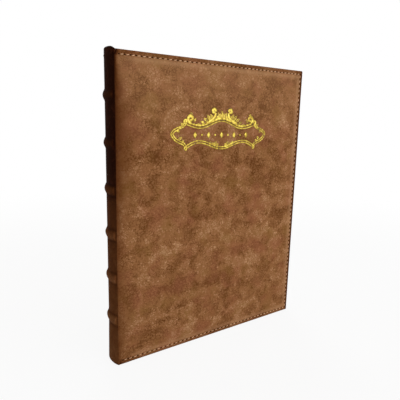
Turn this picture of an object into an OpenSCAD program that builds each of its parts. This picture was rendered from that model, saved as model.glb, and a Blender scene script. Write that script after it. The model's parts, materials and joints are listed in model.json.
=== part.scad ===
// Photo album, bound as a book: padded leather covers, a hubbed spine and
// pocket leaves on guards. It stands closed on its bottom edges.
// X runs from the spine to the fore-edge, Y from the front cover to the rear one, Z up.

/* [Covers] */
// Width of a cover, from the joint with the spine to the fore-edge
cover_w = 181; // [150:1:260]
// Height of the album
album_h = 235; // [190:1:330]
// Thickness of the leather
leather_t = 0.6; // [0.4:0.1:1.0]
// Thickness of the foam under the leather
foam_t = 1.0; // [0.6:0.1:2.0]
// Thickness of a cover board
board_t = 2.0; // [1.5:0.1:3.5]
// Width of the leather turned in over the edges of a board
turn_in = 12; // [8:1:20]
// Thickness of the paper lining pasted inside a cover
lining_t = 0.3; // [0.2:0.05:0.5]
// Distance from the edges of a cover to its lining
lining_inset = 4; // [3:0.5:7]
// Radius of the padded outer edges of a cover
edge_round = 2.8; // [2.2:0.1:2.8]
// Radius of the inner edges of a cover
inner_round = 0.8; // [0.4:0.1:0.9]
// Distance from the fore-edge, head and tail to the sewn channel
seam_inset = 3.3; // [3.2:0.1:6]
// Width of the sewn channel
seam_w = 1.2; // [0.8:0.1:1.6]
// Depth of the sewn channel
seam_d = 0.25; // [0.15:0.05:0.35]

/* [Spine] */
// How far the spine stands out from the joints, without its bands
spine_bulge = 2.4; // [1.5:0.1:4]
// Number of raised bands
band_count = 6; // [3:1:7]
// Distance from the tail to the middle of the lowest band
tail_panel = 37; // [20:1:45]
// Distance from the head to the middle of the highest band
head_panel = 30; // [20:1:45]
// How far the leather over a band stands out from the spine
band_rise = 1.4; // [0.8:0.1:2]
// Width of the leather over a band
band_w = 7.5; // [6:0.5:10]
// Thickness of the spine board
spine_board_t = 1.0; // [0.6:0.1:1.2]
// How far the rolled leather at the head stands above the covers
head_rise = 2.0; // [1.5:0.1:3]
// Height of the leather turned in at the head and tail of the spine
spine_turn_in = 12; // [8:1:20]
// Free space along each joint, where the leather creases
joint_gap = 0.5; // [0.4:0.1:0.8]

/* [Leaves] */
// Number of leaves
leaf_count = 12; // [6:2:12]
// Distance from one leaf to the next, which is also the thickness of a guard
leaf_pitch = 0.85; // [0.85:0.05:1.5]
// Thickness of the core sheet of a leaf
core_t = 0.25; // [0.15:0.05:0.3]
// Thickness of the clear film of a pocket
film_t = 0.1; // [0.06:0.02:0.12]
// Depth of an empty pocket, between the film and the core sheet
pocket_d = 0.1; // [0.06:0.02:0.12]
// Width of a guard, from the back of the block to the score line of its leaf
guard_w = 10.8; // [8:0.2:14]
// Distance from the head and tail of the covers to the leaves
leaf_square = 5; // [3:0.5:8]
// Distance from the fore-edge of the covers to that of the leaves
fore_square = 4; // [3:0.5:8]
// Radius of the corners of the leaves
leaf_corner = 3; // [1:0.5:6]
// Width of a weld between pockets
weld_w = 2; // [1.5:0.5:3]
// Number of pockets on each side of a leaf
pocket_rows = 2; // [1:1:3]
// Radius of the thumb notch in the mouth of a pocket
notch_r = 9; // [6:1:12]
// Thickness of a flyleaf
flyleaf_t = 0.25; // [0.15:0.05:0.25]

/* [Staples] */
// Number of wire staples through the guards
staple_count = 3; // [2:1:5]
// Diameter of the wire
wire_d = 0.6; // [0.4:0.1:0.6]
// Length of the crown of a staple
crown_l = 12; // [8:1:16]

/* [Ornament] */
// Distance from the head to the middle of the gold frame
ornament_drop = 53; // [25:1:100]
// Width of the gold frame
ornament_w = 96; // [60:1:110]
// Thickness of the gold foil
foil_t = 0.1; // [0.05:0.05:0.2]

/* [Hidden] */
$fn = 64;
// Facets on a whole turn of the shallow arcs of the spine
shallow = 256;
// Least gap between two surfaces that pass each other
slip = 0.05;
// Space between a lining and the first guard, which holds the flyleaf
endpaper_space = flyleaf_t + 0.15;
// Length of the ends of a leaf and of a guard that is left free for the score
score = 0.25;
// Length of a leaf that is bare beside its score
bare_w = 3;
// Distance from a joint to the back of the boards of a cover
board_x = joint_gap + 0.3;
// Distance from a joint to the back of the block, and the thickness of its lining
block_x = 1.2;
liner_t = 0.4;
// Radius of a head band and the thickness of its tape
band_roll_r = 0.9;
tape_t = 0.2;
tape_h = 8;

case_t = leather_t + foam_t + board_t + leather_t;
cover_t = case_t + lining_t;
block_t = leaf_count * leaf_pitch + 2 * endpaper_space;
album_t = 2 * cover_t + block_t;

// The outside of the spine is an arc over the thickness of the album.
spine_r = (album_t * album_t / 4 + spine_bulge * spine_bulge) / (2 * spine_bulge);
spine_x = spine_r - spine_bulge;
leather_angle = asin(album_t / 2 / spine_r) - 1.5;
board_angle = asin((album_t / 2 - cover_t + leather_t + foam_t) / spine_r);
lip_angle = asin((album_t / 2 - cover_t - joint_gap) / spine_r) - 0.5;
lip_t = 2 * leather_t + spine_board_t;
// How far the head cap runs to each side, its gap over the covers, and its height at its ends
cap_angle = leather_angle - 2;
cap_gap = 0.3;
cap_end = 0.3;
// Depth of the cap's thin neck in the sheet, and the angle by which both necks are narrower than
// the cap and the turned-in part
neck_root = 1;
neck_back = 1;

// A band runs round the whole spine and ends just before the joints.
band_top = -spine_bulge - band_rise;
band_r = spine_r + band_rise;
band_end_y = 1.5;
band_angle = asin((album_t / 2 - band_end_y) / spine_r);
band_curve = (band_w * band_w / 4 + band_rise * band_rise) / (2 * band_rise);
band_pitch = (album_h - tail_panel - head_panel) / (band_count - 1);

guard_y0 = cover_t + endpaper_space;
score_x = block_x + guard_w;
leaf_x0 = score_x + score;
leaf_x1 = cover_w - fore_square;
leaf_z0 = leaf_square;
leaf_z1 = album_h - leaf_square;
staple_x = block_x + guard_w / 2;
wire_hole_r = wire_d / 2 + slip;

// The origin is under the middle of the box round the closed album.
origin = [(cover_w + band_top) / 2, (album_t - foil_t) / 2, 0];

function two(n) = n < 10 ? str("0", n) : str(n);
function leaf_y(n) = guard_y0 + (n - 0.5) * leaf_pitch;

SIDES = ["front", "rear"];
COVER_LAYERS = ["board", "padding", "leather", "infill", "lining"];

// Places a piece of the front cover, or its mirror image in the rear cover.
module on_side(side) {
    if (side == "front") children();
    else translate([0, album_t, 0]) mirror([0, 1, 0]) children();
}

// A flat sheet, drawn in X and Z, from y0 to y1.
module sheet(y0, y1) {
    translate([0, y1, 0]) rotate([90, 0, 0]) linear_extrude(y1 - y0) children();
}

// A rectangle whose two corners at its right-hand end are round.
module leaf_outline(x0, x1, z0, z1, r) {
    translate([x0, z0]) square([x1 - x0 - r, z1 - z0]);
    translate([x1 - r - 0.01, z0 + r]) square([r + 0.01, z1 - z0 - 2 * r]);
    for (z = [z0 + r, z1 - r]) translate([x1 - r, z]) circle(r);
}

// What a corner of radius r loses when it is rounded; the corner points to +X and -Y.
module corner_loss(r) {
    difference() {
        translate([0, -1]) square([r + 1, r + 1]);
        translate([0, r]) circle(r);
    }
}

// The end of a cover in section: round outside by ro and inside by ri.
module edge_section(w, t, ro, ri) {
    difference() {
        square([w, t]);
        translate([w - ro, 0]) corner_loss(ro);
        if (ri > 0) translate([w - ri, t]) mirror([0, 1]) corner_loss(ri);
    }
}

// A slab whose head, tail and fore-edge are round, from y0 to y0 + t.
module cover_slab(x0, x1, z0, z1, y0, t, ro, ri) {
    translate([0, y0, 0]) intersection() {
        translate([x0, 0, z0]) linear_extrude(z1 - z0) edge_section(x1 - x0, t, ro, ri);
        for (half = [0, 1]) translate([0, 0, half ? z0 + z1 : 0]) mirror([0, 0, half])
            translate([x0, 0, (z0 + z1) / 2]) rotate([0, 90, 0]) linear_extrude(x1 - x0)
                rotate([0, 0, 180]) mirror([0, 1]) edge_section((z1 - z0) / 2, t, ro, ri);
    }
}

// The straight runs of the sewn channel, with a round corner between them.
module sewn_channel() {
    r = (seam_w * seam_w / 4 + seam_d * seam_d) / (2 * seam_d);
    x = cover_w - seam_inset;
    for (z = [seam_inset, album_h - seam_inset])
        translate([joint_gap - 1, seam_d - r, z]) rotate([0, 90, 0])
            cylinder(r = r, h = x - joint_gap + 1);
    translate([x, seam_d - r, seam_inset]) cylinder(r = r, h = album_h - 2 * seam_inset);
    for (z = [seam_inset, album_h - seam_inset]) translate([x, seam_d - r, z]) sphere(r);
}

// The cut at 45 degrees where the turned-in leather meets at a corner.
module corner_cut() {
    w = 0.15;
    for (end = [0, 1]) translate([0, 0, end ? album_h : 0]) mirror([0, 0, end])
        translate([cover_w - turn_in, case_t - leather_t / 2, turn_in])
            rotate([0, 45, 0]) translate([-1, 0, -w / 2]) cube([turn_in * 1.6, leather_t, w]);
}

module cover_leather() {
    inner = leather_t;
    difference() {
        cover_slab(joint_gap, cover_w, 0, album_h, 0, case_t, edge_round, inner_round);
        cover_slab(joint_gap - 1, cover_w - inner, inner, album_h - inner, inner,
            foam_t + board_t, edge_round - inner, 0);
        translate([joint_gap - 1, case_t - leather_t - 0.01, turn_in])
            cube([cover_w - turn_in - joint_gap + 1, leather_t + 1, album_h - 2 * turn_in]);
        sewn_channel();
        corner_cut();
    }
}

module cover_padding() {
    edge = leather_t;
    intersection() {
        cover_slab(board_x, cover_w - edge, edge, album_h - edge, edge,
            foam_t + board_t, edge_round - edge, 0);
        translate([0, edge, 0]) cube([cover_w, foam_t, album_h]);
    }
}

module cover_board() {
    edge = leather_t;
    round_by = edge_round - leather_t - foam_t;
    cover_slab(board_x, cover_w - edge, edge, album_h - edge, edge + foam_t,
        board_t, round_by, 0);
}

module cover_infill() {
    translate([board_x, case_t - leather_t, turn_in + slip])
        cube([cover_w - turn_in - slip - board_x, leather_t, album_h - 2 * turn_in - 2 * slip]);
}

module cover_lining() {
    sheet(case_t, cover_t)
        leaf_outline(board_x, cover_w - lining_inset, lining_inset, album_h - lining_inset, 1);
}

// A solid swept along the arc of the spine, over an angle to each side of its middle.
module along_spine(x, angle) {
    translate([x, album_t / 2, 0]) rotate([0, 0, 180 - angle])
        rotate_extrude(angle = 2 * angle, $fn = shallow) children();
}

// The ridge over one band: a round cushion whose ends are cut square before the joints.
module band_ridge(inset) {
    along_spine(spine_x, band_angle - inset * 180 / PI / spine_r) intersection() {
        translate([band_r - band_curve, 0]) circle(band_curve - inset, $fn = shallow);
        translate([band_r / 2, -band_w]) square([band_r, 2 * band_w]);
    }
}

module each_band() {
    for (i = [1:band_count]) translate([0, 0, tail_panel + (i - 1) * band_pitch]) children();
}

// The rolled cap that stands above the covers at the head, lower towards the joints, and the
// neck below it, thin over the sheet and thick over the turned-in part.
module head_cap() {
    rim = lip_t / 2;
    low = album_h + cap_gap;
    top = album_h + head_rise;
    half_w = spine_r * sin(cap_angle);
    drop = head_rise - cap_gap - cap_end;
    dome_r = (half_w * half_w + drop * drop) / (2 * drop);
    intersection() {
        along_spine(spine_x, cap_angle) intersection() {
            translate([spine_r - lip_t, low]) square([lip_t, top - low]);
            union() {
                translate([spine_r - lip_t, low - rim]) square([lip_t, top - low]);
                translate([spine_r - rim, top - rim]) circle(rim);
            }
        }
        translate([-2 * lip_t - spine_bulge, album_t / 2, top - dome_r]) rotate([0, 90, 0])
            cylinder(r = dome_r, h = spine_r, $fn = shallow);
    }
    along_spine(spine_x, cap_angle - neck_back)
        translate([spine_r - leather_t + slip, album_h - neck_root])
            square([leather_t - 2 * slip, neck_root + cap_gap + cap_end / 2]);
    along_spine(spine_x, lip_angle - neck_back)
        translate([spine_r - lip_t + 2 * slip, album_h - leather_t / 2])
            square([lip_t - leather_t / 2 - 2 * slip, leather_t / 2 + cap_gap + cap_end / 3]);
}

module spine_leather() {
    rim = lip_t / 2;
    difference() {
        union() {
            along_spine(spine_x, leather_angle)
                translate([spine_r - leather_t, 0]) square([leather_t, album_h]);
            each_band() band_ridge(0);
        }
        translate([spine_x, album_t / 2, -1])
            cylinder(r = spine_r - leather_t, h = album_h + 2, $fn = shallow);
        each_band() band_ridge(leather_t);
    }
    head_cap();
    along_spine(spine_x, lip_angle) difference() {
        union() {
            translate([spine_r - lip_t, rim]) square([lip_t, album_h - rim]);
            translate([spine_r - rim, rim]) circle(rim);
        }
        translate([spine_r - leather_t - spine_board_t, leather_t])
            square([spine_board_t, album_h - 2 * leather_t]);
        translate([spine_r - lip_t - 1, spine_turn_in])
            square([lip_t - leather_t + 1, album_h - 2 * spine_turn_in]);
        translate([spine_r - leather_t, spine_turn_in])
            square([leather_t + 1, album_h - 2 * spine_turn_in]);
    }
}

module raised_bands() {
    each_band() difference() {
        band_ridge(leather_t);
        translate([spine_x, album_t / 2, -band_w])
            cylinder(r = spine_r - leather_t, h = 2 * band_w, $fn = shallow);
    }
}

module spine_board() {
    along_spine(spine_x, board_angle)
        translate([spine_r - leather_t - spine_board_t, leather_t + slip])
            square([spine_board_t, album_h - 2 * leather_t - 2 * slip]);
}

module spine_liner() {
    translate([block_x - liner_t, guard_y0, leaf_z0])
        cube([liner_t, leaf_count * leaf_pitch, leaf_z1 - leaf_z0]);
}

// A corded roll on the end of the block, with the tape that holds it.
module end_band() {
    stack = leaf_count * leaf_pitch;
    translate([block_x + band_roll_r, guard_y0, leaf_z1 + band_roll_r]) rotate([-90, 0, 0])
        cylinder(r = band_roll_r, h = stack);
    translate([block_x - liner_t - tape_t, guard_y0, leaf_z1 - tape_h])
        cube([tape_t, stack, tape_h + 2 * band_roll_r]);
    translate([block_x - liner_t - tape_t, guard_y0, leaf_z1 + 2 * band_roll_r - tape_t])
        cube([liner_t + tape_t + band_roll_r, stack, tape_t]);
}

module each_staple() {
    step = (leaf_z1 - leaf_z0) / staple_count;
    for (i = [1:staple_count]) translate([staple_x, 0, leaf_z0 + (i - 0.5) * step]) children();
}

// One staple: a crown in front, two legs through the guards and their turned ends behind.
module staple(r, crown_half) {
    y0 = guard_y0 + wire_d / 2;
    y1 = guard_y0 + leaf_count * leaf_pitch - wire_d / 2;
    translate([0, y0, -crown_half]) cylinder(r = r, h = 2 * crown_half);
    for (end = [-1, 1]) translate([0, 0, end * (crown_half - wire_d / 2)]) {
        translate([0, y0, 0]) rotate([-90, 0, 0]) cylinder(r = r, h = y1 - y0);
        translate([0, y1, 0]) sphere(r);
        translate([0, y1, 0]) rotate([0, end > 0 ? 180 : 0, 0]) cylinder(r = r, h = crown_half * 0.6);
    }
}

module binding_staples() {
    each_staple() staple(wire_d / 2, crown_l / 2);
}

// Grooves for the crowns and turned ends, and holes for the legs.
module staple_seats() {
    each_staple() {
        staple(wire_hole_r, crown_l / 2 + slip);
        for (y = [guard_y0 - 1, guard_y0 + leaf_count * leaf_pitch - wire_d / 2])
            translate([-wire_hole_r, y, -crown_l / 2 - slip])
                cube([2 * wire_hole_r, 1 + wire_d / 2, crown_l + 2 * slip]);
    }
}

module guard(n) {
    difference() {
        translate([block_x, guard_y0 + (n - 1) * leaf_pitch, leaf_z0])
            cube([guard_w - score, leaf_pitch, leaf_z1 - leaf_z0]);
        staple_seats();
    }
}

module flyleaf_tip() {
    translate([block_x, guard_y0 - flyleaf_t, leaf_z0])
        cube([guard_w - score, flyleaf_t, leaf_z1 - leaf_z0]);
}

module flyleaf() {
    sheet(guard_y0 - flyleaf_t, guard_y0)
        leaf_outline(leaf_x0, leaf_x1, leaf_z0, leaf_z1, leaf_corner);
}

module leaf(n) {
    sheet(leaf_y(n) - core_t / 2, leaf_y(n) + core_t / 2)
        leaf_outline(leaf_x0, leaf_x1, leaf_z0, leaf_z1, leaf_corner);
}

// The clear film on one side of a leaf: a sheet with thumb notches, on welds.
module pocket_film() {
    inset = 1;
    x0 = score_x + bare_w;
    x1 = leaf_x1 - inset;
    z0 = leaf_z0 + inset;
    z1 = leaf_z1 - inset;
    row_h = (z1 - z0 - weld_w) / pocket_rows;
    sheet(core_t / 2 + pocket_d, core_t / 2 + pocket_d + film_t) difference() {
        leaf_outline(x0, x1, z0, z1, leaf_corner - inset);
        for (i = [1:pocket_rows])
            translate([x0, z0 + weld_w / 2 + (i - 0.5) * row_h]) circle(notch_r);
    }
    sheet(core_t / 2, core_t / 2 + pocket_d) difference() {
        leaf_outline(x0, x1, z0, z1, leaf_corner - inset);
        for (i = [1:pocket_rows])
            translate([x0 - 1, z0 + weld_w + (i - 1) * row_h])
                square([x1 - x0 - weld_w + 1, row_h - weld_w]);
    }
}

module pockets(n) {
    translate([0, leaf_y(n), 0]) for (side = [0, 1]) mirror([0, side, 0]) pocket_film();
}

// Ornament: a scrolled frame with a crest, drawn on one half and mirrored.
function curve(p, t) = pow(1 - t, 3) * p[0] + 3 * pow(1 - t, 2) * t * p[1]
    + 3 * (1 - t) * t * t * p[2] + pow(t, 3) * p[3];
function curve_points(p, n) = [for (i = [0:n]) curve(p, i / n)];
function spiral_points(c, r0, r1, a0, a1, n) = [for (i = [0:n])
    let (t = i / n, a = a0 + (a1 - a0) * t, r = r0 + (r1 - r0) * t) c + r * [cos(a), sin(a)]];
function side_of(p, i) = let (a = p[max(i - 1, 0)], b = p[min(i + 1, len(p) - 1)], d = b - a)
    [-d[1], d[0]] / norm(d);
function width_at(t, w0, w1, w2) = t < 0.5 ? w0 + (w1 - w0) * 2 * t : w1 + (w2 - w1) * (2 * t - 1);

// A stroke along points p, with widths at its start, middle and end, moved sideways by shift.
module stroke(p, w0, w1, w2, shift = 0) {
    n = len(p) - 1;
    left = [for (i = [0:n]) p[i] + side_of(p, i) * (shift + width_at(i / n, w0, w1, w2) / 2)];
    right = [for (i = [n:-1:0]) p[i] + side_of(p, i) * (shift - width_at(i / n, w0, w1, w2) / 2)];
    polygon(concat(left, right));
}

// A pointed leaf from its base a to its tip b, bent sideways.
module leaf_shape(a, b, w, bend) {
    across = [-(b - a)[1], (b - a)[0]] / norm(b - a);
    p = curve_points([a, a + (b - a) / 3 + across * bend, a + (b - a) * 2 / 3 + across * bend, b], 8);
    stroke(p, w * 0.4, w, 0.1);
}

function top_rail(u) = u < 21 ? 0.6 + 2.9 * (1 + cos(180 * u / 21))
    : 0.6 + 2.8 * (1 - cos(90 * (u - 21) / 12.5));
function tail_rail(u) = u < 22 ? -16 + 2.6 * (1 - cos(180 * u / 22))
    : -10.8 - 4.4 * (1 - cos(90 * (u - 22) / 12));
TOP_RAIL = [for (i = [0:28]) [33.5 * i / 28, top_rail(33.5 * i / 28)]];
TAIL_RAIL = [for (i = [0:28]) [34 * i / 28, tail_rail(34 * i / 28)]];
LOBE = concat(
    curve_points([[34, -15], [35.5, -10], [38.5, -10.4], [41.5, -9]], 7),
    curve_points([[42.2, -8.7], [45.8, -7.5], [47.3, -6], [47.3, -4]], 6),
    curve_points([[47.3, -3.3], [47, -0.6], [44.5, 0.6], [42, 0.9]], 6),
    curve_points([[41.2, 1], [38.5, 1.2], [36, 2.4], [34, 5.4]], 7));

module ornament_half() {
    stroke(TOP_RAIL, 0.6, 0.6, 0.6);
    stroke(TOP_RAIL, 2.4, 1.8, 1.4, 1.9);
    for (shift = [0.1, 1.5]) stroke(TAIL_RAIL, 0.6, 0.6, 0.6, shift);
    for (shift = [-0.65, 0.65]) stroke(LOBE, 0.6, 0.6, 0.6, shift);
    stroke(spiral_points([34.2, -15.2], 1.2, 1, 0, 330, 14), 0.6, 0.6, 0.6);
    // Shoulder scroll and its leaves
    stroke(spiral_points([30.6, 8.2], 4.2, 1, -60, 250, 22), 1.4, 2, 1.4);
    leaf_shape([29.4, 10], [30.6, 13.2], 2, 0.5);
    leaf_shape([34.4, 4.6], [35.2, 8.8], 2.2, -0.6);
    leaf_shape([40.8, 0.4], [37.4, 3.2], 1.8, 0.6);
    leaf_shape([40.8, -8.6], [37.2, -5.2], 1.8, -0.6);
    // Crest scroll with leaves down its back
    stroke(curve_points([[14.5, 4.6], [9.5, 7], [7, 10], [7.4, 13.2]], 12), 2.2, 1.8, 1.2);
    stroke(spiral_points([9.4, 14.3], 2.2, 0.7, 205, -110, 18), 1, 1.5, 1.2);
    leaf_shape([13.2, 6.6], [16.8, 11.4], 3, 0.8);
    leaf_shape([15.5, 5], [19, 8.4], 2.2, 0.6);
    leaf_shape([19, 3.6], [21.2, 6.2], 1.8, 0.4);
    leaf_shape([23, 2.8], [25, 4.2], 1.2, 0.3);
    // Fan in the crest
    leaf_shape([0, 8.4], [0, 16.8], 1, 0);
    leaf_shape([1.2, 8], [3, 14], 2, 0.3);
    leaf_shape([2.6, 8], [5.8, 12.4], 2, 0.4);
    // Leaves that rise inside the tail rail
    leaf_shape([5.6, -13.6], [4.2, -9.6], 1.8, -0.6);
    leaf_shape([8.2, -13], [6.8, -10.8], 1.6, -0.4);
    leaf_shape([11, -12], [9.6, -10], 1.4, -0.4);
    stroke(curve_points([[4.6, -13.8], [7.5, -13.4], [11, -11.8], [15, -9.8]], 8), 1.6, 1.2, 0.3);
}

// A row of lozenges and dots in the middle of the frame.
module lozenge_row() {
    step = 6.4;
    for (i = [-4:4]) translate([i * step, -4.6])
        if (i % 2 == 0) polygon([[-2.1, 0], [0, -2.9], [2.1, 0], [0, 2.9]]);
        else circle(0.7, $fn = 16);
}

module gold_frame() {
    scale_by = ornament_w / 96;
    sheet(-foil_t, 0) translate([cover_w / 2, album_h - ornament_drop]) offset(delta = 0.02)
        scale([scale_by, scale_by]) {
            ornament_half();
            mirror([1, 0]) ornament_half();
            lozenge_row();
        }
}

module cover_layer(layer) {
    if (layer == "board") color("tan") cover_board();
    if (layer == "padding") color("gainsboro") cover_padding();
    if (layer == "leather") color("#875f3c") cover_leather();
    if (layer == "infill") color("burlywood") cover_infill();
    if (layer == "lining") color("ivory") cover_lining();
}

translate(-origin) {
    for (side = SIDES, layer = COVER_LAYERS)
        on_side(side) cover_layer(layer);
    color("gold") gold_frame();
    color("tan") spine_board();
    color("sienna") raised_bands();
    color("#5a3a22") spine_leather();
    color("white") spine_liner();
    color("goldenrod") end_band();  // head_band
    color("goldenrod")  // tail_band
        translate([0, 0, album_h]) mirror([0, 0, 1]) end_band();
    color("silver") binding_staples();
    for (side = SIDES) {
        color("ivory") on_side(side) flyleaf();
        color("ivory") on_side(side) flyleaf_tip();
    }
    for (n = [1:leaf_count]) {
        color("oldlace") guard(n);
        color("cornsilk") leaf(n);
        color("lightcyan", 0.4) pockets(n);
    }
}
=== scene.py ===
# %% [markdown]
# A photo album, bound as a book
#
# The album stands closed on its tail edges. It has two padded covers in brushed leather, a round
# spine with six raised bands, and a block of twelve pocket leaves between them. The covers swing
# open, and the leaves turn with them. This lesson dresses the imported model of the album, piece by
# piece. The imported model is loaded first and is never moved: every new piece takes its place from it.

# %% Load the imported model
import json
import math
import bmesh
import bpy
import numpy as np
from mathutils import Matrix, Vector


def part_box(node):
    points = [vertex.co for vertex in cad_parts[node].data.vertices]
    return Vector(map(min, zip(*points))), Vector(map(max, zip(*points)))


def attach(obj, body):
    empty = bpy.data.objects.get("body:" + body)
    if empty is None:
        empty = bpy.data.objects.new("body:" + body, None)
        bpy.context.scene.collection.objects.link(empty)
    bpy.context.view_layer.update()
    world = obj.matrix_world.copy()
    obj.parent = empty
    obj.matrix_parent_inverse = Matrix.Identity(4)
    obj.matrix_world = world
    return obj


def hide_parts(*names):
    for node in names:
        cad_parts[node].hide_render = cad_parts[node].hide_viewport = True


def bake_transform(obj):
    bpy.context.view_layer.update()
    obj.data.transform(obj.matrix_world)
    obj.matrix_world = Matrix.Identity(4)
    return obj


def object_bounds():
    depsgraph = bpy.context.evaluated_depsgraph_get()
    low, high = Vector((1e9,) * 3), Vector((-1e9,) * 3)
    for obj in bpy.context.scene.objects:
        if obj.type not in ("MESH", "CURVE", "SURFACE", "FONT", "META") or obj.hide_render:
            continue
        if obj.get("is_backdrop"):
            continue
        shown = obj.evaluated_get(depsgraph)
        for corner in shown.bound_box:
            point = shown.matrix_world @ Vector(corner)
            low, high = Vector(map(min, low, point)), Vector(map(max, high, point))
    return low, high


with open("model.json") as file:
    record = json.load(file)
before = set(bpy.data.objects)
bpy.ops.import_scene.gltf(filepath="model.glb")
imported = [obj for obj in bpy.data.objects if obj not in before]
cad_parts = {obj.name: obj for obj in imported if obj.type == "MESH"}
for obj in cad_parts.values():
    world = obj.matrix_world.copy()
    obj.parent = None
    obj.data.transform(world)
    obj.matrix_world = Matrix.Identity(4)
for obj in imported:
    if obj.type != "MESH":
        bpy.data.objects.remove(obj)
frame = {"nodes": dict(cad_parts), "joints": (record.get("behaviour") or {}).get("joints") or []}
cad_low, cad_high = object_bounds()

# %% [markdown]
# Sizes in the binder's terms
#
# A binder measures an album from the joint beside its spine, from its front face and from its tail.
# So this script writes every place as (x, y, z) in millimetres from there, and make_piece turns that
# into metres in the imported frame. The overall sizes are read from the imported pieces, and the joint
# from the hinge of the front cover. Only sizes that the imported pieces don't tell are typed in.

# %% Read the sizes of the album
MM = 0.001
SIDES = ("front", "rear")
front_low, front_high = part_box("front_leather")
_, rear_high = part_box("rear_leather")
hinge = next(j for j in frame["joints"] if j["name"] == "front_cover_open")
JOINT = Vector((hinge["pos_m"][0], front_low.y, 0))
COVER_W = (front_high.x - JOINT.x) / MM
ALBUM_H = front_high.z / MM
ALBUM_T = (rear_high.y - front_low.y) / MM
CASE_T = (front_high.y - front_low.y) / MM


def node_mm(node):
    """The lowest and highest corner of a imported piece, in the binder's millimetres."""
    low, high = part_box(node)
    return (low - JOINT) / MM, (high - JOINT) / MM


print(f"cover {COVER_W:.1f} x {ALBUM_H:.1f} mm, album {ALBUM_T:.1f} mm thick, case {CASE_T:.1f} mm")

# %% [markdown]
# From points to a piece
#
# All the pieces are grids or tubes of points, so a few helpers make the meshes. Each mesh also keeps
# its points at rest in an attribute called place, in millimetres. The leather and paper patterns are
# read from place, so they run on from one piece to the next, and they would stay put where a piece
# bent at a joint. A modifier is applied as soon as it has done its work, so what is seen is plain mesh.

# %% From points to objects
def new_object(name, data):
    """An object with that data, put in the scene."""
    made = bpy.data.objects.new(name, data)
    bpy.context.scene.collection.objects.link(made)
    return made


def make_piece(name, points, faces, material, closed=True, smooth=True):
    """A mesh object from points in the binder's millimetres."""
    points = np.asarray(points, float)
    mesh = bpy.data.meshes.new(name)
    mesh.from_pydata((points * MM + np.array(JOINT)).tolist(), [], faces)
    if closed:
        shell = bmesh.new()
        shell.from_mesh(mesh)
        bmesh.ops.recalc_face_normals(shell, faces=shell.faces)
        shell.to_mesh(mesh)
        shell.free()
    mesh.polygons.foreach_set("use_smooth", [smooth] * len(mesh.polygons))
    place = mesh.attributes.new("place", "FLOAT_VECTOR", "POINT")
    place.data.foreach_set("vector", points.ravel())
    mesh.materials.append(material)
    return new_object(name, mesh)


def set_tone(piece, name, values):
    """Keeps one number a point, such as how much shade is painted into the leather there."""
    attribute = piece.data.attributes.new(name, "FLOAT", "POINT")
    attribute.data.foreach_set("value", np.asarray(values, np.float32).ravel())


def on_side(side, points):
    """Points of the front cover as they are, or mirrored onto the rear cover."""
    points = np.array(points, float)
    if side == "rear":
        points[..., 1] = ALBUM_T - points[..., 1]
    return points


def join_parts(parts):
    """Several (points, faces) as one."""
    points, faces, count = [], [], 0
    for part_points, part_faces in parts:
        points.append(part_points)
        faces += [tuple(i + count for i in face) for face in part_faces]
        count += len(part_points)
    return np.concatenate(points), faces


# %% Grids and sheets
def grid_faces(rows, columns, start=0, closed_columns=False, flip=False):
    """Quads over a grid of points that is stored row by row."""
    faces = []
    for i in range(rows - 1):
        for j in range(columns if closed_columns else columns - 1):
            k = (j + 1) % columns
            low = start + i * columns
            high = low + columns
            quad = (low + j, low + k, high + k, high + j)
            faces.append(quad[::-1] if flip else quad)
    return faces


def grid_rim(rows, columns):
    """The points round the rim of a grid, in order."""
    rim = list(range(columns))
    rim += [i * columns + columns - 1 for i in range(1, rows)]
    rim += [(rows - 1) * columns + j for j in range(columns - 2, -1, -1)]
    rim += [i * columns for i in range(rows - 2, 0, -1)]
    return rim


def closed_sheet(outer, inner):
    """Two grids of points, rim to rim, as one sheet with a real thickness."""
    rows, columns = outer.shape[:2]
    count = rows * columns
    faces = grid_faces(rows, columns) + grid_faces(rows, columns, count, flip=True)
    rim = grid_rim(rows, columns)
    for a, b in zip(rim, rim[1:] + rim[:1]):
        faces.append((b, a, a + count, b + count))
    return np.concatenate([outer.reshape(-1, 3), inner.reshape(-1, 3)]), faces


def thicken(piece, thickness):
    """Gives an open sheet its thickness on the hidden side, as applied mesh."""
    solid = piece.modifiers.new("thickness", "SOLIDIFY")
    solid.thickness = thickness * MM
    solid.offset = -1
    graph = bpy.context.evaluated_depsgraph_get()
    shown = bpy.data.meshes.new_from_object(piece.evaluated_get(graph))
    piece.modifiers.clear()
    piece.data = shown


# %% Tubes
def tube_faces(rings, sides):
    """Quads round a tube that is stored ring by ring, and a face over each end."""
    last = (rings - 1) * sides
    ends = [tuple(range(sides))[::-1], tuple(range(last, last + sides))]
    return grid_faces(rings, sides, closed_columns=True) + ends


def sweep(path, section, scales, side):
    """A closed tube: a section of (sideways, outwards) points along a path, scaled on the way."""
    path = np.asarray(path, float)
    tangent = np.gradient(path, axis=0)
    tangent /= np.linalg.norm(tangent, axis=1)[:, None]
    side = np.cross(tangent, side)
    side /= np.linalg.norm(side, axis=1)[:, None]
    outward = np.cross(side, tangent)
    section = np.asarray(section, float)
    scales = np.asarray(scales, float)[:, None, None]
    ring = side[:, None] * section[None, :, :1] + outward[:, None] * section[None, :, 1:]
    points = (path[:, None] + ring * scales).reshape(-1, 3)
    return points, tube_faces(len(path), len(section))


def round_section(sides):
    """A round section with a radius of one."""
    angle = np.linspace(0, 2 * np.pi, sides, endpoint=False)
    return np.stack([np.cos(angle), np.sin(angle)], -1)


# %% [markdown]
# Camera
#
# The photograph looks at the album from the front left and a little above, so that the spine shows
# beside the front cover. The camera stands where the four corners of the cover and the bands of the
# spine all fall in place. It is rolled a little, as the photograph is.

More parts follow.
